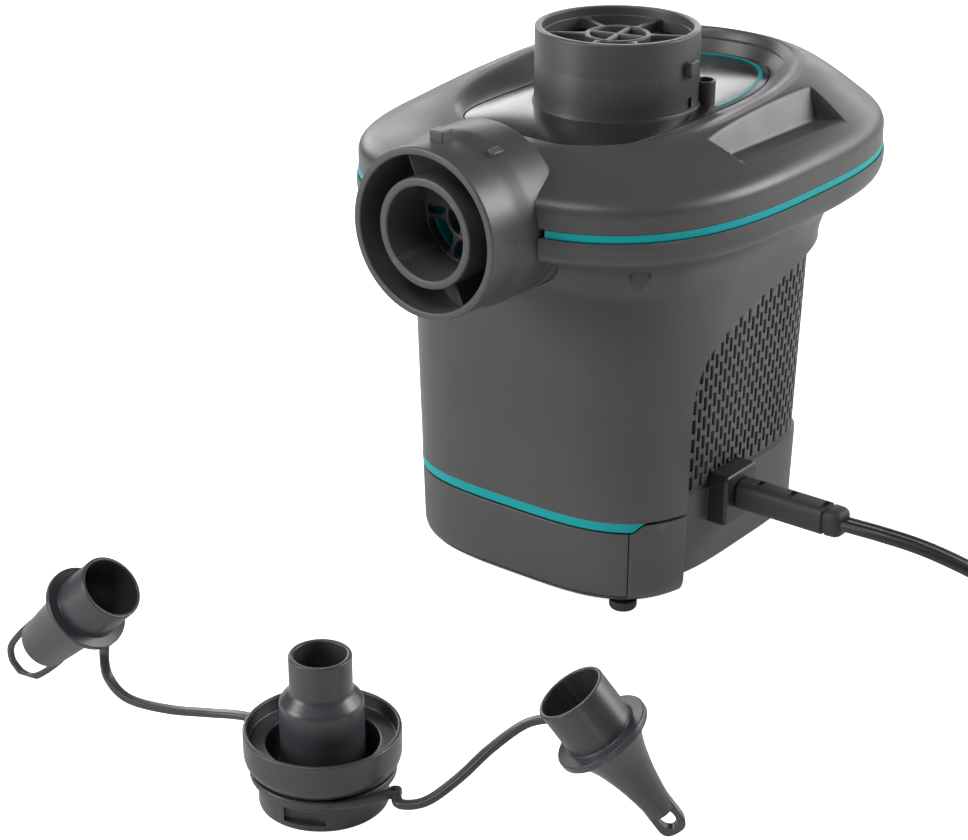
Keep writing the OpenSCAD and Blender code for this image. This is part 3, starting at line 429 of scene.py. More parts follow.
# ---------------------------------------------------------------- driving sizes, in millimetres
# W and D are half sizes in plan, N is an oval's squareness, Y is its centre and Z is a height.
BODY_N, REAR_N, BODY_W, BODY_D = 3.5, 4.6, 42.9, 44.1
DRAFT, DRAFT_Z, FLARE_Z = 0.025, 25.5, 84
HEAD_N, HEAD_W, HEAD_D, HEAD_Y = 2.9, 56.8, 68.5, 4.7
CREST_W, CREST_FRONT, CREST_BACK, CREST_N = 38.5, 50.0, 55.3, 2.2
DECK_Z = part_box("deck_plate")[1][2] / MM
DECK_W, DECK_Y, DECK_FRONT, DECK_BACK = 26.0, 8.0, 48.0, 48.5
DECK_FRONT_N, DECK_BACK_N = 5, 2.2
TRIM_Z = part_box("upper_trim")[0][2] / MM
LOWER_TRIM_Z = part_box("lower_trim")[0][2] / MM
COVER_Z, SHOULDER_Z, RIM_Z = 109.3, 115.6, 127.5
PORT_R, PORT_BORE = 21.0, 19.1
OUTLET_Z = 107.5
OUTLET_HOLE = 22.2
SEAM_ANGLE, SEAM_FOOT = math.radians(20.1), 48.0
RECESS = 1.35
HEAD_SCREWS = ((-37.3, -42.2), (37.3, -42.2), (-37, 46), (37, 46))


def body_section(z):
    """Half width, half depth, squareness, rear squareness and centre of the housing at height z."""
    flare = [(0, 42.26, 43.46, 3.5, 4.6, 0), (FLARE_Z, 44.36, 45.56, 3.5, 4.6, 0),
             (87.5, 44.6, 45.8, 3.5, 4.5, 0), (90.5, 45.5, 46.9, 3.5, 4.3, 0),
             (93.5, 46.9, 49.0, 3.42, 3.9, 0.4), (96.3, 49.4, 53.0, 3.25, 3.5, 1.4),
             (98.8, 53.0, 60.4, 3.02, 3.1, 3.3), (100.6, 55.6, 66.2, 2.92, 2.95, 4.5),
             (101.7, 56.5, 68.0, 2.9, 2.9, 4.7), (102.6, HEAD_W, HEAD_D, 2.9, 2.9, HEAD_Y),
             (110, HEAD_W, HEAD_D, 2.9, 2.9, HEAD_Y)]
    if z <= FLARE_Z:
        grow = DRAFT * (z - DRAFT_Z)
        return BODY_W + grow, BODY_D + grow, BODY_N, REAR_N, 0.0
    return curve_through(flare, z)


def on_body(angle, z, off=0.0):
    half_w, half_d, n, rear_n, centre_y = body_section(z)
    x, y = oval(np.array([angle]), half_w + off, half_d + off, n, centre_y, rear_n)[0]
    return (x, y, z)


# ---------------------------------------------------------------- head
def deck_outline(angles, wider, longer):
    """The deck in plan: nearly square in front and oval behind."""
    front = np.sin(angles) < 0
    exponent = np.where(front, 2 / DECK_FRONT_N, 2 / DECK_BACK_N)
    depth = np.where(front, DECK_FRONT, DECK_BACK)
    return np.column_stack([(DECK_W + wider) * power(np.cos(angles), exponent),
                            DECK_Y + (depth + longer) * power(np.sin(angles), exponent)])


def cover_grid(angles):
    """Rings of the cover's outer surface, from its lower edge over the rim to the deck."""
    edge = oval(angles, HEAD_W - 0.1, HEAD_D - 0.1, HEAD_N, HEAD_Y)
    crest = oval(angles, CREST_W, 1.0, CREST_N)
    crest[:, 1] = HEAD_Y + crest[:, 1] * np.where(np.sin(angles) < 0, CREST_FRONT, CREST_BACK)
    deck = deck_outline(angles, 0.15, 0)

    def rim(y):
        return RIM_Z - 4.5 + 5.4 * smooth_step((y + 60) / 115)

    def shoulder(t):
        xy = edge + (crest - edge) * t
        share = t * (1.25 - 0.25 * t**3)
        return np.column_stack([xy, SHOULDER_Z + (rim(xy[:, 1]) - SHOULDER_Z) * share])

    def inner(t):
        xy = crest + (deck - crest) * t
        share = 1 - smooth_step((t - 0.15) / 0.85)
        return np.column_stack([xy, DECK_Z + (rim(xy[:, 1]) - DECK_Z) * share])

    round_end = 0.15
    rings = [level(edge, z) for z in (COVER_Z, COVER_Z + 0.3, 111, 112.4)]
    corner = level(edge, SHOULDER_Z)
    below = level(edge, SHOULDER_Z - 2.6)
    above = shoulder(round_end)
    for t in np.linspace(0, 1, 10):
        rings.append((1 - t) ** 2 * below + 2 * t * (1 - t) * corner + t * t * above)
    rings += [shoulder(t) for t in np.linspace(round_end, 1, 84)[1:]]
    rings += [inner(t) for t in np.linspace(0, 1, 44)[1:]]
    return rings


def sink_grip(ring):
    """Sinks the grip recess into the right rim, with a leaning inner wall and steep ends."""
    x, y = ring[:, 0], ring[:, 1]
    foot = 41.9 + 1.5 * smooth_step((y + 17) / 45)
    floor = 118.5 + 0.17 * (x - 42)
    wall = floor + (foot - x) * 2.3
    back = floor + (y - 28.0) * 16
    front = floor + (-17.2 - y) * 7
    pocket = blend_max(blend_max(blend_max(floor, wall, 1.0), back, 0.7), front, 1.0)
    soft = np.where(x > 47, 1.2, 0.8)
    inside = (x > 30) & (y > -30) & (y < 36)
    ring[:, 2] = np.where(inside, blend_min(ring[:, 2], pocket, soft), ring[:, 2])
    return ring


def front_cylinder(radius, start, length):
    """A cylinder that points to the front at the outlet's height."""
    outline = circle(radius, 180)
    points = [(x, -h, OUTLET_Z + z) for h in (start, start + length) for x, z in outline]
    return points, prism_faces(len(outline))


def build_top_cover():
    def finer(p):
        """More points along the grip recess."""
        return np.where((p[:, 0] > 0) & (p[:, 1] > -24) & (p[:, 1] < 36), 2.6, 1.0)

    outer = cover_grid(even_angles(HEAD_W, HEAD_D, HEAD_N, 640, weight=finer))
    side_rings = 4
    outer = outer[:side_rings] + [sink_grip(ring) for ring in outer[side_rings:]]
    lip = [outer[-1] - [0, 0, drop] for drop in (2.5, 4.5)]
    inside = [outer[i] * [0.95, 0.96, 1] + [0, 0.2, -2.4] for i in range(len(outer) - 8, 12, -12)]
    inside.append(outer[0] * [0.962, 0.968, 1])
    obj = loft("top_cover_shell", outer + lip + inside, PLUM, closed_loop=True)
    cut(obj, *front_cylinder(OUTLET_HOLE, 50.6, 40), solver="FAST")
    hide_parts("top_cover")


def build_deck():
    angles = even_angles(DECK_W, DECK_BACK, 3, 240)
    plate, inlay_depth, inlay_rise = 1.5, 0.6, 0.12
    hole = level((PORT_R + 0.2) * np.column_stack([np.cos(angles), np.sin(angles)]), DECK_Z)
    edge = ((-0.1, -plate), (-0.1, -0.35), (-0.2, -0.1), (-0.45, 0))
    rings = [level(deck_outline(angles, off, off), DECK_Z + z) for off, z in edge]
    rings = [hole - [0, 0, plate]] + rings + [hole]
    obj = loft("deck_plate_gloss", rings, DECK, closed_loop=True)
    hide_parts("deck_plate")

    arc = np.radians(np.linspace(2, 112, 120))
    outline = [*deck_outline(arc, -2.0, -2.0), *deck_outline(arc, -3.1, -3.1)[::-1]]
    inlay = piece("deck_inlay_line", *prism(outline, DECK_Z - inlay_depth, DECK_Z + inlay_rise), TEAL)
    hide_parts("deck_trim")


def build_upper_trim():
    angles = even_angles(HEAD_W, HEAD_D, HEAD_N, 400)

    def ring(off, z):
        return level(oval(angles, HEAD_W + off, HEAD_D + off, HEAD_N, HEAD_Y), z)

    z0, z1 = TRIM_Z + 0.05, TRIM_Z + 2.05
    rings = [ring(-2, z0), ring(-0.3, z0), ring(-0.08, z0 + 0.1), ring(0, z0 + 0.35), ring(0, z1 - 0.35),
             ring(-0.08, z1 - 0.1), ring(-0.3, z1), ring(-2, z1)]
    obj = loft("upper_trim_band", rings, TEAL, closed_loop=True)
    cut(obj, *front_cylinder(OUTLET_HOLE + 1.3, 0, 90))
    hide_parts("upper_trim")


# ---------------------------------------------------------------- housing
def seam_height(angle):
    """Height of the rear cover's upper edge at this angle of the body's outline."""
    seam = [(-24.0, SEAM_FOOT), (-23.6, 56), (-22.5, 61.5), (-20, 67), (-16, 71), (-10, 74.2), (0, 77.6),
            (15, 81.2), (30, 84.3), (BODY_D, 86.5)]
    y = BODY_D * power(np.sin(angle), 2 / (REAR_N if math.sin(angle) > 0 else BODY_N))
    return float(curve_through(seam, float(y))[0])


def rear_columns():
    """Angles round the rear, finer where the seam is steep."""
    return even_angles(BODY_W, BODY_D, BODY_N, 300, -SEAM_ANGLE, math.pi + SEAM_ANGLE, closed=False,
                       weight=lambda p: np.where(np.abs(p[:, 1] + 19) < 5.5, 3.5, 1.0), rear_n=REAR_N)


def front_columns(count):
    return even_angles(BODY_W, BODY_D, BODY_N, count, math.pi + SEAM_ANGLE, TURN - SEAM_ANGLE, closed=False)


def build_main_housing():
    rear, front = rear_columns(), front_columns(150)
    columns = np.concatenate([rear, front[1:-1]])
    last = len(rear) - 1
    bottom = LOWER_TRIM_Z + 2.5
    top = TRIM_Z + 0.02
    rows = sorted(set([bottom + 0.6, 30, 35, 40, 44, 48] + list(np.arange(51, 84, 3.0))
                      + list(np.arange(84, 104.2, 0.7)) + [105.2, 106.2]))

    def low(i):
        if i >= last:
            return bottom, bottom
        return tuple(seam_height(rear[k]) if 0 < k < last else SEAM_FOOT for k in (i, i + 1))

    points, faces = sheet(on_body, columns, rows, low, lambda i: (top, top), closed=True)
    obj = piece("main_housing_shell", points, faces, PLUM, closed=False)
    shell(obj, 2.2)
    cut(obj, *front_cylinder(OUTLET_HOLE, 0, 90))
    for x, y in HEAD_SCREWS:
        cut(obj, *prism(circle(2.7, 48, x, y), 88, 100))
    bevel(obj, 0.3, 2, 60)
    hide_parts("main_housing")


SLOT_W, SLOT_PITCH, SLOT_H, SLOT_RISE, VENT_Z = 1.25, 1.95, 3.9, 5.3, 31.4


def build_rear_cover():
    dense = np.linspace(-SEAM_ANGLE, math.pi + SEAM_ANGLE, 40001)
    outline = oval(dense, BODY_W - 2, BODY_D - 2, BODY_N, rear_n=REAR_N)
    run = np.concatenate([[0], np.cumsum(np.linalg.norm(np.diff(outline, axis=0), axis=1))])
    total = run[-1]
    count = int((total - 2.2) / SLOT_PITCH)
    margin = (total - count * SLOT_PITCH + (SLOT_PITCH - SLOT_W)) / 2
    marks, slot_of = [0.12], [None]
    for k in range(count):
        side = margin + k * SLOT_PITCH
        marks += [side, side + SLOT_W]
        slot_of += [k, None]
    marks.append(total - 0.12)
    columns = np.interp(marks, run, dense)
    rows = [9.2, 12, 16, 20, 24, 28, 30.2, 30.5, 30.9]
    z = VENT_Z
    while z < 90:
        rows += [z, z + SLOT_RISE / 2 + SLOT_H - SLOT_RISE, z + SLOT_RISE / 2, z + SLOT_H]
        z += SLOT_RISE
    rows = sorted(set(round(r, 3) for r in rows))

    def section(angle, height):
        depth = RECESS + 0.75 * smooth_step((height - 30.45) / 0.4)
        return on_body(angle, height, -depth)

    def skip(i, z0, z1):
        if slot_of[i] is None or z0 < VENT_Z - 0.01:
            return False
        middle = (columns[i] + columns[i + 1]) / 2
        x, y, _ = on_body(middle, z0)
        if abs(x) < 24 and y > 0:
            return False
        start = VENT_Z + (slot_of[i] % 2) * SLOT_RISE / 2
        k = math.floor((z0 - start + 0.01) / SLOT_RISE)
        slot_z = start + k * SLOT_RISE
        return k >= 0 and z1 <= slot_z + SLOT_H + 0.01 and slot_z + SLOT_H < seam_height(middle) - 1.0

    def high(i):
        last = len(columns) - 1
        return tuple(seam_height(columns[k]) - 0.25 if 0 < k < last else SEAM_FOOT for k in (i, i + 1))

    points, faces = sheet(section, columns, rows, lambda i: (8.6, 8.6), high, skip=skip)
    obj = piece("rear_cover_vents", points, faces, PANEL, closed=False)
    shell(obj, 1.7)
    bevel(obj, 0.13, 1, 70)
    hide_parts("rear_cover")


def angle_at_x(x):
    """Angle on the front of the body's outline at a given x."""
    share = abs(x / BODY_W)
    return math.atan2(-(1 - share ** BODY_N) ** 0.5, np.sign(x) * share ** (BODY_N / 2)) % TURN


CHIN_Z, CHIN_TOP, CHIN_ROUND = 2.6, 23.65, 5.5
BADGE_X, BADGE_Z = 33.4, 4.92
TRIM_FLAT_X, TRIM_TIP_X = 33.6, 36.2


def chin_offset(z):
    """How far the chin's surface draws in towards its rounded lower edge."""
    rise = np.clip((z - CHIN_Z) / CHIN_ROUND, 0, 1)
    return -CHIN_ROUND * 0.9 * (1 - math.sqrt(max(0.0, 1 - (1 - rise) ** 2)))


def trim_taper(angle):
    """Height by which the lower trim's bottom edge rises towards its pointed ends."""
    flat, tip = (abs(angle_at_x(x) - 1.5 * math.pi) for x in (TRIM_FLAT_X, TRIM_TIP_X))
    return 2.28 * smooth_step((abs(angle - 1.5 * math.pi) - flat) / (tip - flat))


def build_base():
    left, right = angle_at_x(-BADGE_X), angle_at_x(BADGE_X)
    columns = np.array(sorted(list(front_columns(140)) + [left - 0.0006, left, right, right + 0.0006]))
    rows = [CHIN_Z + rise for rise in (0.02, 0.1, 0.3, 0.7, 1.3)]
    rows += [4.9, 4.95, 6.0, 7.2, 8.3, 12, 18, CHIN_TOP - 0.3]

    def section(angle, z):
        sunk = 1.0 if left <= angle <= right and z > BADGE_Z else 0.0
        return on_body(angle, z, chin_offset(z) - sunk)

    def top(i):
        return tuple(CHIN_TOP + trim_taper(columns[k]) for k in (i, i + 1))

    points, faces = sheet(section, columns, rows, lambda i: (CHIN_Z, CHIN_Z), top)
    known = {}
    for index, p in enumerate(points):
        if abs(p[2] - CHIN_Z) < 1e-6:
            known[p[0]] = index
    faces.append([known[x] for x in sorted(known, reverse=True)])
    obj = piece("base_chin", points, faces, PLUM, closed=False)
    shell(obj, 2.0)
    bevel(obj, 0.25, 2, 55)
    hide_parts("base_cover")

    outline = [tuple(p[:2]) for p in (on_body(a, 9, -RECESS - 2.2) for a in
                                      np.linspace(-SEAM_ANGLE, math.pi + SEAM_ANGLE, 160))]
    block("base_floor", outline, 9.0, 11.2, PLUM, edge=0.4)
    block("base_step_wall", box_outline(-36.5, 36.5, -26.2, -24.1), CHIN_Z + 0.2, 11.2, PLUM, edge=0.3)

    inset = 0.0085
    panel_columns = np.linspace(left + inset, right - inset, 130)
    panel_rows = [5.5, 6.2, 7.2, 8.4, 10, 14, 18, CHIN_TOP - 0.35]
    points, faces = sheet(lambda a, z: on_body(a, z, chin_offset(z) + 0.05), panel_columns, panel_rows,
                          lambda i: (5.2, 5.2), lambda i: (CHIN_TOP, CHIN_TOP))
    panel = piece("base_front_panel", points, faces, PLUM, slot="dark_plastic", closed=False)
    shell(panel, 1.0)
    bevel(panel, 0.25, 2, 55)
    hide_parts("badge_panel")


def build_lower_trim():
    tip = angle_at_x(TRIM_TIP_X)
    columns = np.linspace(math.pi + (TURN - tip), tip, 160)
    z0, z1 = LOWER_TRIM_Z, LOWER_TRIM_Z + 2.4

    def low(i):
        return tuple(z0 + trim_taper(columns[k]) for k in (i, i + 1))

    points, faces = sheet(lambda a, z: on_body(a, z, 0.12), columns, [z1 - 0.06], low, lambda i: (z1, z1))
    obj = piece("lower_trim_strip", points, faces, TEAL, closed=False)
    shell(obj, 1.6)
    bevel(obj, 0.15, 2, 60)
    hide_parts("lower_trim")


def build_feet():
    for i, (x, y, top) in enumerate(((-24, -30, CHIN_Z), (29, -33.5, CHIN_Z), (-23, 29, 9), (23, 29, 9))):
        profile = [(0.01, 0), (2.7, 0), (3.2, 0.12), (3.5, 0.5), (3.62, 1.2), (3.62, top), (2.1, top),
                   (2.1, top + 0.7), (0.01, top + 0.7)]
        foot = revolve(f"foot_{i}", profile, RUBBER, move(x, y, 0), segments=48)
        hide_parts("feet")


# ---------------------------------------------------------------- ports
def to_front():
    """Local Z points out of the front port, and local Y points up."""
    return Matrix(((1, 0, 0, 0), (0, 0, -1, 0), (0, 1, 0, OUTLET_Z), (0, 0, 0, 1)))


def rib(name, x0, x1, width, low, high, place):
    """A rib with a rounded top edge."""
    half = width / 2
    outline = rounded([(-half, low, 0), (half, low, 0), (half, high, 0.45), (-half, high, 0.45)], 0.4)
    points = [place @ Vector((x, y, z)) for x in (x0, x1) for y, z in outline]
    return piece(name, points, prism_faces(len(outline)), PLUM)


def build_grille(prefix, place, bore, low, high, ring_in, ring_out, inner, outer, inner_turn, outer_turn):
    ring = rounded([(ring_in, low, 0), (ring_out, low, 0), (ring_out, high, 0.5), (ring_in, high, 0.5)], 0.5)
    revolve(prefix + "_ring", ring, PLUM, place, segments=96)
    for i in range(inner):
        rib(f"{prefix}_inner_rib_{i}", 0, ring_in + 0.3, 1.3, low, high - 0.15,
            place @ turn(inner_turn + 360 * i / inner, "Z"))
    for i in range(outer):
        spoke = place @ turn(outer_turn + 360 * i / outer, "Z")
        half = [(ring_out - 0.4, 1.7), (ring_out + 0.5, 1.0), (ring_out + 1.6, 0.65), (bore - 2.2, 0.65),
                (bore - 0.9, 1.0), (bore - 0.2, 1.8), (bore + 0.5, 2.0)]
        outline = half + [(x, -y) for x, y in half[::-1]]
        block(f"{prefix}_outer_rib_{i}", outline, low, high - 0.15, PLUM, spoke, edge=0.35)
    band = rounded([(bore - 0.35, low, 0), (bore + 0.3, low, 0), (bore + 0.3, high, 0),
                    (bore - 0.35, high, 0.3)], 0.3)
    revolve(prefix + "_band", band, PLUM, place, segments=128)


def lug(name, place, angle, width, low, high, proud):
    """A small block that stands proud of a port's wall, with its width along the wall."""
    outline = box_outline(PORT_R - 1.2, PORT_R + proud, -width / 2, width / 2)
    block(name, outline, low, high, PLUM, place @ turn(angle, "Z"), edge=0.35)


INLET_TOP, INLET_FLANGE, INLET_FLANGE_Z = 142.0, 26, (116.3, 118.3)
INLET_STEP_Z, LUG_ANGLE = 121.5, 3


def build_inlet():
    here = Matrix.Identity(4)
    low, high = INLET_FLANGE_Z
    profile = rounded([(PORT_BORE, low, 0), (INLET_FLANGE, low, 0.3), (INLET_FLANGE, high, 0.3),
                       (PORT_R, high, 0.3), (PORT_R, INLET_TOP, 0.6), (PORT_BORE, INLET_TOP, 0.5)], 0.4)
    tube = revolve("inlet_tube", profile, PLUM, segments=200)
    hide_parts("inlet_port")
    cut_box(tube, turn(LUG_ANGLE, "Z"), (20.3, 24), (-1.8, 1.8), (123.4, 126.2))
    foot = INLET_STEP_Z
    sleeve_start, sleeve_end = math.radians(-131), math.radians(-27)
    sleeve = rounded([(PORT_R - 0.5, foot, 0), (PORT_R + 0.8, foot, 0.1), (PORT_R + 0.55, 123.2, 0.3),
                      (PORT_R + 0.5, 128.5, 3), (PORT_R - 0.15, 134.5, 0), (PORT_R - 0.5, 134.5, 0)], 0.3)
    revolve("inlet_sleeve", sleeve, PLUM, here, 120, sleeve_start, sleeve_end)
    collar = rounded([(PORT_R - 0.5, foot, 0), (PORT_R + 0.7, foot, 0.1), (PORT_R + 0.4, 123.1, 0.2),
                      (PORT_R - 0.5, 123.3, 0)], 0.2)
    revolve("inlet_foot", collar, PLUM, here, 160, sleeve_end, math.radians(229))
    for name, angle in (("inlet_lug", LUG_ANGLE), ("inlet_lug_back", LUG_ANGLE + 180)):
        lug(name, here, angle, 3.8, 132.0, 135.9, 1.8)
    boss = rounded([(0.01, foot, 0), (2.9, foot, 0), (2.9, 128.2, 0.5), (2.2, 128.2, 0.4), (2.1, 126.6, 0.3),
                    (0.01, 126.6, 0)], 0.4)
    revolve("inlet_boss", boss, PLUM, turn(34, "Z") @ move(PORT_R + 1.2, 0, 0), 64)
    build_grille("inlet_grille", here, PORT_BORE, 136.6, 139.8, 7.1, 8.4, 4, 6, 12, 31)


PIPE_BORE, PIPE_R, COLLAR_R = 11.4, 13.6, 22.0
ROOT_Y, OUTLET_RIM, PIPE_RIM = 46.2, 78.3, 77.6
RAMP_SWEEP, RAMP_RISE, RAMP_STEPS = 58, 12.5, 24


def build_outlet():
    place = to_front()
    profile = rounded([(PIPE_BORE, ROOT_Y, 0.2), (PIPE_R, ROOT_Y, 0.2), (PIPE_R, 50.9, 0.3),
                       (COLLAR_R, 50.9, 2.6), (COLLAR_R, 63.5, 1.2), (PORT_R, 68.5, 1.5),
                       (PORT_R, OUTLET_RIM, 0.6), (PORT_BORE, OUTLET_RIM, 0.5), (PORT_BORE, 60, 1.2),
                       (PIPE_R, 60, 1.0), (PIPE_R, PIPE_RIM, 0.6), (PIPE_BORE, PIPE_RIM, 0.6)], 0.4)
    collar = revolve("outlet_collar", profile, PLUM, place, segments=220)
    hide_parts("outlet_port")
    root = box_outline(PIPE_R, COLLAR_R, ROOT_Y, 52.8)
    revolve("outlet_root", root, PLUM, place, 120, math.radians(165), math.radians(375))
    lug("outlet_lug_top", place, 92, 4.0, 67.8, 72.0, 2.5)
    lug("outlet_lug_side", place, 60, 2.0, 62.5, 66.5, 1.5)
    lug("outlet_lug_low", place, 272, 4.0, 67.8, 72.0, 2.0)
    for i, start in enumerate((58, 238)):
        steps = RAMP_STEPS
        points, faces = [], []
        for k in range(steps + 1):
            a = math.radians(start + RAMP_SWEEP * k / steps)
            height = 61 + RAMP_RISE * k / steps
            for r, h in ((13.4, 59.5), (19.3, 59.5), (19.3, height), (13.4, height)):
                points.append(place @ Vector((r * math.cos(a), r * math.sin(a), h)))
        for k in range(steps):
            a, b = 4 * k, 4 * k + 4
            faces += [(a + j, b + j, b + (j + 1) % 4, a + (j + 1) % 4) for j in range(4)]
        faces += [(0, 1, 2, 3), tuple(4 * steps + j for j in (3, 2, 1, 0))]
        ramp = piece(f"outlet_ramp_{i}", points, faces, PLUM)
        bevel(ramp, 0.3, 2)
    build_grille("outlet_grille", place, PIPE_BORE, 60.8, 62.9, 4.6, 5.8, 3, 6, 20, 8)
    liner = rounded([(11.35, 46.4, 0), (10.6, 46.4, 0.2), (10.6, 60.2, 0.3), (11.35, 60.2, 0)], 0.2)
    obj = revolve("outlet_liner_ring", liner, TEAL, place, segments=128)
    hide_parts("outlet_liner")


# ---------------------------------------------------------------- cord, switch and plug
def strand(name, points, width, height, material, steps, twin=False, up=Vector((0, 0, 1)), **options):
    """A flat strand through points. A twin strand has a groove between its two cores."""
    points = [Vector(p) for p in points]
    last = len(points) - 1

    def at(t):
        s = min(int(t * last), last - 1)
        u = t * last - s
        a, b, c, d = points[max(s - 1, 0)], points[s], points[s + 1], points[min(s + 2, last)]
        return 0.5 * (2 * b + (c - a) * u + (2 * a - 5 * b + 4 * c - d) * u * u
                      + (3 * b - a - 3 * c + d) * u**3)

    if twin:
        core = height / 2
        shift = width / 2 - core
        arc = np.radians(np.arange(-120, 121, 24))
        section = [(shift + core * math.cos(a), core * math.sin(a)) for a in arc]
        section = section + [(-x, -y) for x, y in section]
    else:
        section = rounded([(-width / 2, -height / 2), (width / 2, -height / 2), (width / 2, height / 2),
                           (-width / 2, height / 2)], min(width, height) * 0.35, 3)
    m = len(section)
    mesh_points = []
    for k in range(steps + 1):
        t = k / steps
        centre = at(t)
        along = (at(min(1, t + 0.004)) - at(max(0, t - 0.004))).normalized()
        across = up.cross(along).normalized()
        top = along.cross(across)
        mesh_points += [centre + across * x + top * y for x, y in section]
    faces = [(k * m + i, k * m + (i + 1) % m, (k + 1) * m + (i + 1) % m, (k + 1) * m + i)
             for k in range(steps) for i in range(m)]
    faces += [tuple(range(m - 1, -1, -1)), tuple(range(steps * m, (steps + 1) * m))]
    return piece(name, mesh_points, faces, material, **options)


CORD_Y, CORD_Z = -6.3, 27.8
ANCHOR_X, ANCHOR_L = BODY_W - 1.0, 4.7
BOOT_X, BOOT_L = ANCHOR_X + ANCHOR_L + 0.3, 30.0


def soft_square(half_w, half_h, radius=2.2):
    return rounded([(-half_w, -half_h), (half_w, -half_h), (half_w, half_h), (-half_w, half_h)], radius, 5)


def build_cord():
    place = move(ANCHOR_X - 1.2, CORD_Y, CORD_Z) @ turn(90, "Y")
    outline = rounded([(-6.4, -7.5, 1.6), (7.4, -7.5, 1.0), (7.4, 7.3, 1.0), (-6.4, 7.3, 2.0)], 1, 5)
    anchor = block("cord_anchor_block", outline, 0, ANCHOR_L + 1.2, BLACK, place, edge=0.8,
                   slot="dark_plastic")
    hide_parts("cord_anchor")

    sleeve = [(0.0, 3.5), (0.25, 3.7), (24.9, 3.7), (25.1, 3.55), (25.15, 3.2), (25.9, 3.2), (25.95, 3.5),
              (26.15, 3.62), (28.6, 3.55), (29.6, 3.2), (30.0, 2.7), (30.05, 1.4)]
    boot_at = move(BOOT_X, CORD_Y, CORD_Z)
    rings = [np.array([boot_at @ Vector((x, y, z)) for y, z in soft_square(half, half, min(2.2, half))])
             for x, half in sleeve]
    boot = loft("cord_boot_sleeve", rings, RUBBER, caps=True)
    for x in (4.8, 14.5, 24.2):
        low, high = boot_at @ Vector((x - 0.8, -1.9, 2.9)), boot_at @ Vector((x + 0.8, 1.9, 5))
        cut(boot, *prism(box_outline(low.x, high.x, low.y, high.y), low.z, high.z))
    bevel(boot, 0.15, 2, 50)
    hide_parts("cord_boot")

    path = [(BOOT_X + 20, CORD_Y, CORD_Z), (BOOT_X + BOOT_L, CORD_Y, CORD_Z), (87, -5.4, 27.6),
            (97, -3.2, 26.2), (107, -0.4, 23.2), (117, 3.6, 18.4), (126, 8.4, 13), (135, 14, 7.6),
            (143, 21, 3.4), (149.5, 30.5, 1.6), (151.5, 42, 1.6), (146, 52.5, 1.6), (134.5, 58.5, 1.6),
            (121, 62, 1.6), (108.5, 68, 1.6), (103, 79, 1.6), (107.5, 91, 1.6), (119, 98, 1.6),
            (133, 99.5, 1.8), (146, 98.8, 3.8), (156, 98.2, 6.2), (163, 98, 7), (172, 98, 7)]
    cord = strand("power_cord_twin", path, 5.2, 3.2, CABLE, twin=True, steps=420)
    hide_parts("power_cord")

    plug = move(166, 98, 7)
    half = [(0, -4.6), (1.2, -5.4), (8, -6.2), (15, -12.4), (20, -16.2), (25, -17.6), (34, -17.6)]
    outline = rounded(half + [(x, -y) for x, y in half[::-1]], 1.6, 4)
    body = block("plug_body_moulding", outline, -6.8, 6.8, BLACK, plug, edge=1.8)
    body.modifiers["edges"].segments = 5
    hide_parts("plug_body")
    for side in (-1, 1):
        pin = [(0.01, 24.2), (2.0, 24.2), (2.0, 51.6), (1.8, 52.3), (1.2, 52.8), (0.5, 53.0), (0.01, 53.0)]
        place = plug @ move(0, side * 9.3, 0) @ turn(90, "Y")
        obj = revolve(f"plug_pin_{side + 1}", pin, NICKEL, place, segments=48)
        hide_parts("plug_pins")
        sleeve = [(2.02, 33.5), (2.45, 33.5), (2.4, 42.6), (2.2, 43.0), (2.02, 43.0)]
        revolve(f"plug_pin_sleeve_{side + 1}", sleeve, BLACK, place, segments=48)


def build_switch():
    low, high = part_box("switch_frame")
    z = (low[2] + high[2]) / 2 / MM
    face = BODY_D + DRAFT * (z - DRAFT_Z) - RECESS
    place = move(0, face, z) @ turn(-90, "X")
    outer = rounded([(-7.5, -10.5), (7.5, -10.5), (7.5, 10.5), (-7.5, 10.5)], 1.6, 4)
    inner = rounded([(-5.6, -8.7), (5.6, -8.7), (5.6, 8.7), (-5.6, 8.7)], 0.8, 4)
    rings = [np.array([place @ Vector((x, y, h)) for x, y in ring]) for ring, h in
             ((inner, -6), (inner, 1.9), (outer, 1.9), (outer, 0.1), (outer, -2))]
    bezel = loft("switch_bezel", rings, BLACK)
    bevel(bezel, 0.35, 3)
    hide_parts("switch_frame")
    tilt = move(0, face, z) @ turn(9, "X")
    profile = rounded([(-1.5, -7.4), (3.6, -8.1, 0.6), (2.4, 0, 2), (3.6, 8.1, 0.6), (-1.5, 7.4),
                       (-3, 0, 1)], 0.4, 4)
    points = [tilt @ Vector((x, y, h)) for x in (-5.3, 5.3) for y, h in profile]
    rocker = piece("switch_rocker_key", points, prism_faces(len(profile)), BLACK, body="rocker",
                   slot="dark_plastic")
    bevel(rocker, 0.35, 3)
    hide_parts("switch_rocker")


# ---------------------------------------------------------------- nozzle set
HUB = (27.3, -147.6)
BAND_LOW, BAND_HIGH, BAND_MIDDLE = 6.95, 8.65, 7.8
LEFT_PATH = [(8.4, -140.5, BAND_MIDDLE), (-3, -141.6, 6.6), (-12, -143.6, 5), (-22, -147.2, 4),
             (-32, -150.2, 4.6), (-38, -150.6, 8.2), (-40.4, -149.4, 13.0), (-40.3, -148.4, 17.2)]
RIGHT_PATH = [(46.6, -145.8, BAND_MIDDLE), (49.6, -147.6, 6.8), (54.5, -144.6, 8), (58.2, -138, 12),
              (61.2, -130.5, 17), (66, -124.2, 22), (72.6, -121.4, 24.6)]


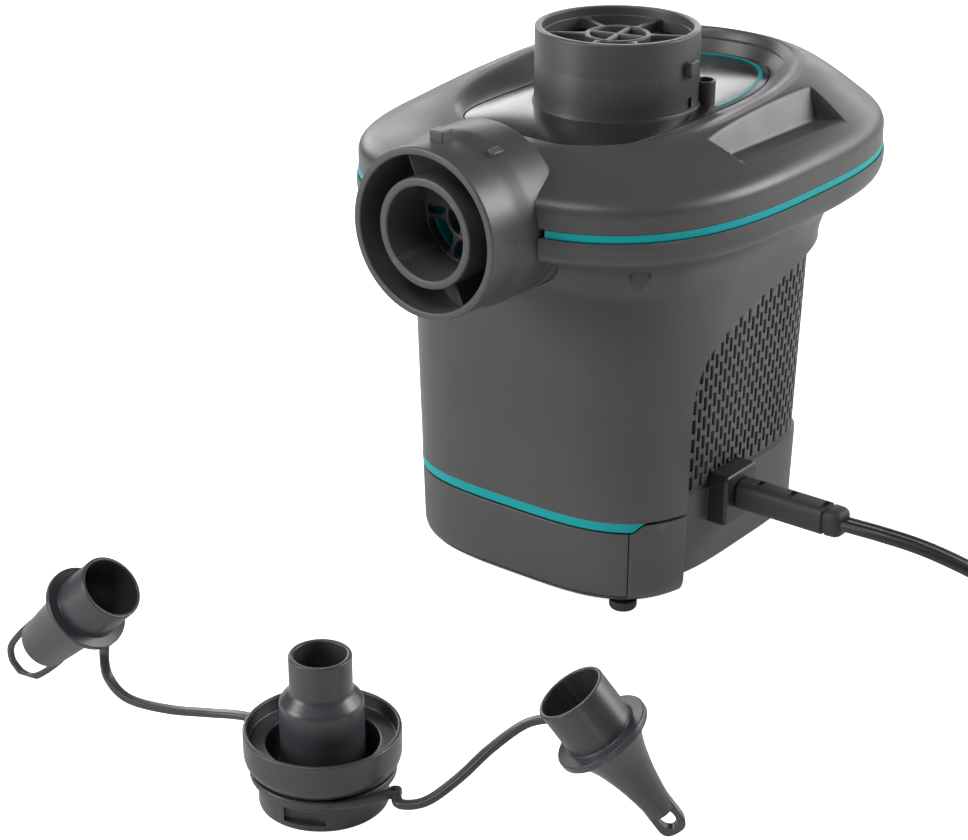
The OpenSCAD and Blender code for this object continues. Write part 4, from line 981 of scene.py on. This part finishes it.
def build_adapter():
    place = move(HUB[0], HUB[1], 0)
    profile = rounded([(12.9, 0, 0.3), (14.6, 0, 0.5), (14.6, 6.8, 0.2), (14.0, 6.95, 0.1),
                       (14.0, 8.75, 0.1), (15.6, 8.8, 0.6), (17.2, 10.6, 1.0), (17.6, 12.2, 0.6),
                       (17.6, 18.2, 0.5), (16.6, 18.2, 0.4), (16.6, 14.6, 0.4), (12.6, 14.6, 0.5),
                       (12.6, 5.4, 0.6), (9.7, 5.4, 0.3), (9.7, 3.6, 0.2), (12.9, 3.6, 0.3)], 0.3, 3)
    hub = revolve("adapter_cup", profile, NOZZLE, place, segments=180, body="adapter")
    for azimuth in (-66, 54, 174):
        cut_box(hub, place @ turn(azimuth, "Z"), (13.0, 17), (-4.8, 4.8), (1.5, 5.0))
    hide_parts("adapter_hub")
    tube = rounded([(7.9, 3.7, 0.2), (9.6, 3.7, 0.2), (9.5, 5.6, 0.2), (9.4, 25.0, 0.8), (7.0, 27.8, 0.9),
                    (7.0, 36.3, 0.5), (5.8, 36.3, 0.5), (5.8, 26.8, 0.8), (7.9, 24.4, 0.8)], 0.4)
    spout = revolve("adapter_spout", tube, NOZZLE, place, segments=128, body="adapter")
    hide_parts("adapter_tube")
    band = rounded([(14.1, BAND_LOW, 0.1), (16.4, BAND_LOW, 0.5), (16.4, BAND_HIGH, 0.5),
                    (14.1, BAND_HIGH, 0.1)], 0.3)
    ring = revolve("tether_ring", band, NOZZLE, place, segments=160, body="band")
    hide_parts("tether_band")
    for name, end, back in (("left", LEFT_PATH[0], 1), ("right", RIGHT_PATH[0], -1)):
        angle = math.atan2(end[1] - HUB[1], end[0] - HUB[0])
        arm = [(HUB[0] + r * math.cos(angle + back * a), HUB[1] + r * math.sin(angle + back * a), BAND_MIDDLE)
               for r, a in ((15.9, 0.85), (16.6, 0.55), (17.6, 0.28))]
        strand(f"tether_arm_{name}", arm + [end], 2.4, 1.7, NOZZLE, body="band", steps=40)
        eye = rounded([(0.01, BAND_LOW, 0), (1.5, BAND_LOW, 0.4), (1.5, BAND_HIGH, 0.4),
                       (0.01, BAND_HIGH, 0)], 0.3)
        revolve(f"tether_eye_{name}", eye, NOZZLE, move(end[0], end[1], 0), 48, body="band")


def build_tethers():
    for name, path in (("left", LEFT_PATH), ("right", RIGHT_PATH)):
        strap = strand(f"{name}_tether_strap", path, 2.3, 1.7, NOZZLE, body=f"{name}_strand", steps=90)
        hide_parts(f"{name}_tether")


def lean(tip, azimuth, tilt):
    return move(*tip) @ turn(azimuth, "Z") @ turn(tilt, "Y")


def build_nozzles():
    place = lean((-69.4, -152.8, 1.0), 9, 46.3)
    profile = rounded([(5.3, 13.6, 0.2), (6.2, 13.6, 0.2), (7.8, 32.0, 0.3), (10.6, 32.1, 0.3),
                       (10.6, 33.5, 0.3), (8.0, 33.6, 0.4), (7.95, 44.2, 0.4), (7.05, 44.2, 0.4),
                       (7.0, 31.5, 0.3)], 0.3)
    barrel = revolve("left_nozzle_barrel", profile, NOZZLE, place, segments=128, body="left_strand")
    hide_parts("left_nozzle")
    half = [(5.7, 14.6), (5.5, 8.5), (4.6, 3.6), (2.3, 1.2)]
    loop = [place @ Vector((x, 0, z)) for x, z in [(-x, z) for x, z in half] + [(0, 0.8)] + half[::-1]]
    strand("left_nozzle_loop", loop, 1.6, 1.4, NOZZLE, body="left_strand", steps=60,
           up=(place.to_3x3() @ Vector((0, 1, 0))))

    stretch = 1.06
    place = lean((98, -111.7, 1.0), -142.1, 34.7) @ Matrix.Diagonal((1, 1, stretch, 1))
    profile = rounded([(2.2, 6, 0.2), (3.1, 6, 0.3), (3.7, 11, 2), (4.6, 16, 2), (6.1, 21.4, 2),
                       (8.6, 26.8, 0.6), (11, 27.2, 0.3), (11, 28.8, 0.3), (8.0, 28.9, 0.4),
                       (7.95, 39.8, 0.4), (7.0, 39.8, 0.4), (7.0, 27.3, 0.5), (5.2, 21.6, 1),
                       (3.7, 16, 1)], 0.3)
    spout = revolve("right_nozzle_spout", profile, NOZZLE, place, segments=128, body="right_strand")
    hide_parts("right_nozzle")
    outer = rounded([(-3.2, 9.5), (-3.2, 0.1, 3.1), (3.2, 0.1, 3.1), (3.2, 9.5)], 0.4, 6)
    angles = np.linspace(0, TURN, len(outer), endpoint=False) + 2.4
    hole = [(1.8 * math.cos(a), 4.2 + 2.7 * math.sin(a)) for a in angles]
    rings = []
    for ring, y in ((outer, -1.2), (outer, 1.2), (hole, 1.2), (hole, -1.2)):
        rings.append(np.array([place @ Vector((x, y, z)) for x, z in ring]))
    tab = loft("right_nozzle_tab", rings, NOZZLE, closed_loop=True, body="right_strand")
    bevel(tab, 0.4, 3)


# ---------------------------------------------------------------- carried-over CAD nodes
CARRIED = {
    TEAL: ["impeller"],
    PANEL: ["volute_case", "volute_lid", "upper_bracket", "lower_bracket", "brush_holders"],
    RUBBER: ["port_seal", "motor_mounts"],
    STEEL: ["head_screws", "base_screws", "lid_screws", "bracket_screws", "impeller_nut", "motor_shaft",
            "upper_bearing", "lower_bearing", "brush_springs", "thermal_fuse"],
    LAMINATED: ["armature_core", "stator_core"],
    COPPER: ["armature_winding", "commutator", "field_coils"],
    CARBON: ["brushes"],
    CABLE: ["wiring"],
}


def dress_cad_nodes():
    for material, names in CARRIED.items():
        for name in names:
            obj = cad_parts[name]
            if not obj.material_slots:
                obj.data.materials.append(material)
            for slot in obj.material_slots:
                slot.material = material
            bevel(obj, 0.2, 2)


# ---------------------------------------------------------------- stage
FLOOR_GLOW = 0.95
STRIP_GLOW, STRIP_TOP = 4.6, 0.34
ROOM_LOW, ROOM_HIGH = 0.03, 0.13
# Name, place, target, side and power of each soft box, in metres and watts
SOFT_BOXES = (("front_box", (-0.6, -0.95, 0.4), (0, 0, 0.07), 0.5, 8),
              ("left_box", (-0.95, 0.35, 0.5), (0, 0, 0.1), 0.45, 3.5),
              ("right_back_box", (0.75, 0.65, 0.6), (0, 0, 0.1), 0.5, 8.5),
              ("top_front_box", (-0.05, -0.55, 0.95), (0, 0, 0.1), 0.4, 4))
CAMERA_AT, CAMERA_AZIMUTH, CAMERA_PITCH = (0.3263, -0.4726, 0.2858), 38.04, 23.75


def build_stage():
    mesh = bpy.data.meshes.new("floor")
    mesh.from_pydata([(-4, -4, 0), (4, -4, 0), (4, 6, 0), (-4, 6, 0)], [], [(0, 1, 2, 3)])
    floor = add_object("floor", mesh)
    material, tree, shader = principled("pale_floor")
    base = mix_colour(tree, noise(tree, 3, 2), (0.90, 0.90, 0.90), (0.92, 0.92, 0.92))
    tree.links.new(base, shader.inputs["Base Color"])
    shader.inputs["Roughness"].default_value = 0.9
    shader.inputs["Emission Color"].default_value = (1, 1, 1, 1)
    seen = tree.nodes.new("ShaderNodeLightPath")
    glow = tree.nodes.new("ShaderNodeMath")
    glow.operation = "MULTIPLY"
    glow.inputs[1].default_value = FLOOR_GLOW
    tree.links.new(seen.outputs["Is Camera Ray"], glow.inputs[0])
    tree.links.new(glow.outputs[0], shader.inputs["Emission Strength"])
    mesh.materials.append(material)


def area_light(name, position, target, size, power_w):
    data = bpy.data.lights.new(name, "AREA")
    data.energy = power_w
    data.shape = "RECTANGLE"
    data.size = data.size_y = size
    light = add_object(name, data)
    light.location = position
    direction = Vector(target) - Vector(position)
    light.rotation_euler = direction.to_track_quat("-Z", "Y").to_euler()


def build_light():
    """Dim room with a bright strip low down behind the object, and soft boxes round it."""
    world = bpy.data.worlds.new("studio")
    world.use_nodes = True
    tree = world.node_tree
    coords = tree.nodes.new("ShaderNodeTexCoord")
    parts = tree.nodes.new("ShaderNodeSeparateXYZ")
    tree.links.new(coords.outputs["Generated"], parts.inputs["Vector"])

    def ramp(source, start, end, low, high):
        return map_range(tree, parts.outputs[source], start, end, low, high, "SMOOTHSTEP")

    def combine(operation, a, b):
        node = tree.nodes.new("ShaderNodeMath")
        node.operation = operation
        tree.links.new(a, node.inputs[0])
        tree.links.new(b, node.inputs[1])
        return node.outputs["Value"]

    strip = combine("MULTIPLY", ramp("Y", 0.45, 0.75, 0, STRIP_GLOW),
                    ramp("Z", STRIP_TOP - 0.05, STRIP_TOP, 1, 0))
    strip = combine("MULTIPLY", strip, ramp("Z", 0.05, 0.2, 0, 1))
    strength = combine("ADD", strip, ramp("Z", -0.1, 0.9, ROOM_LOW, ROOM_HIGH))
    tree.links.new(strength, tree.nodes["Background"].inputs["Strength"])
    tree.nodes["Background"].inputs["Color"].default_value = (1, 1, 1, 1)
    bpy.context.scene.world = world
    bpy.context.scene.view_settings.view_transform = "Standard"
    for box in SOFT_BOXES:
        area_light(*box)


def build_camera():
    azimuth, pitch = math.radians(CAMERA_AZIMUTH), math.radians(CAMERA_PITCH)
    back = Vector((math.sin(azimuth) * math.cos(pitch), -math.cos(azimuth) * math.cos(pitch),
                   math.sin(pitch)))
    right = Vector((math.cos(azimuth), math.sin(azimuth), 0))
    up = back.cross(right)
    camera = add_object("camera", bpy.data.cameras.new("camera"))
    axes = (right, up, back, Vector(CAMERA_AT))
    camera.matrix_world = Matrix([[axis[i] for axis in axes] for i in range(3)] + [[0, 0, 0, 1]])
    camera.data.sensor_width = 36
    camera.data.lens = 86.13
    camera.data.shift_x = 0.0021
    camera.data.shift_y = -0.0013
    camera.data.clip_start = 0.01
    bpy.context.scene.camera = camera


# ---------------------------------------------------------------- build
build_top_cover()
build_deck()
build_upper_trim()
build_main_housing()
build_rear_cover()
build_base()
build_lower_trim()
build_feet()
build_inlet()
build_outlet()
build_cord()
build_switch()
build_adapter()
build_tethers()
build_nozzles()
dress_cad_nodes()
build_stage()
build_light()
build_camera()
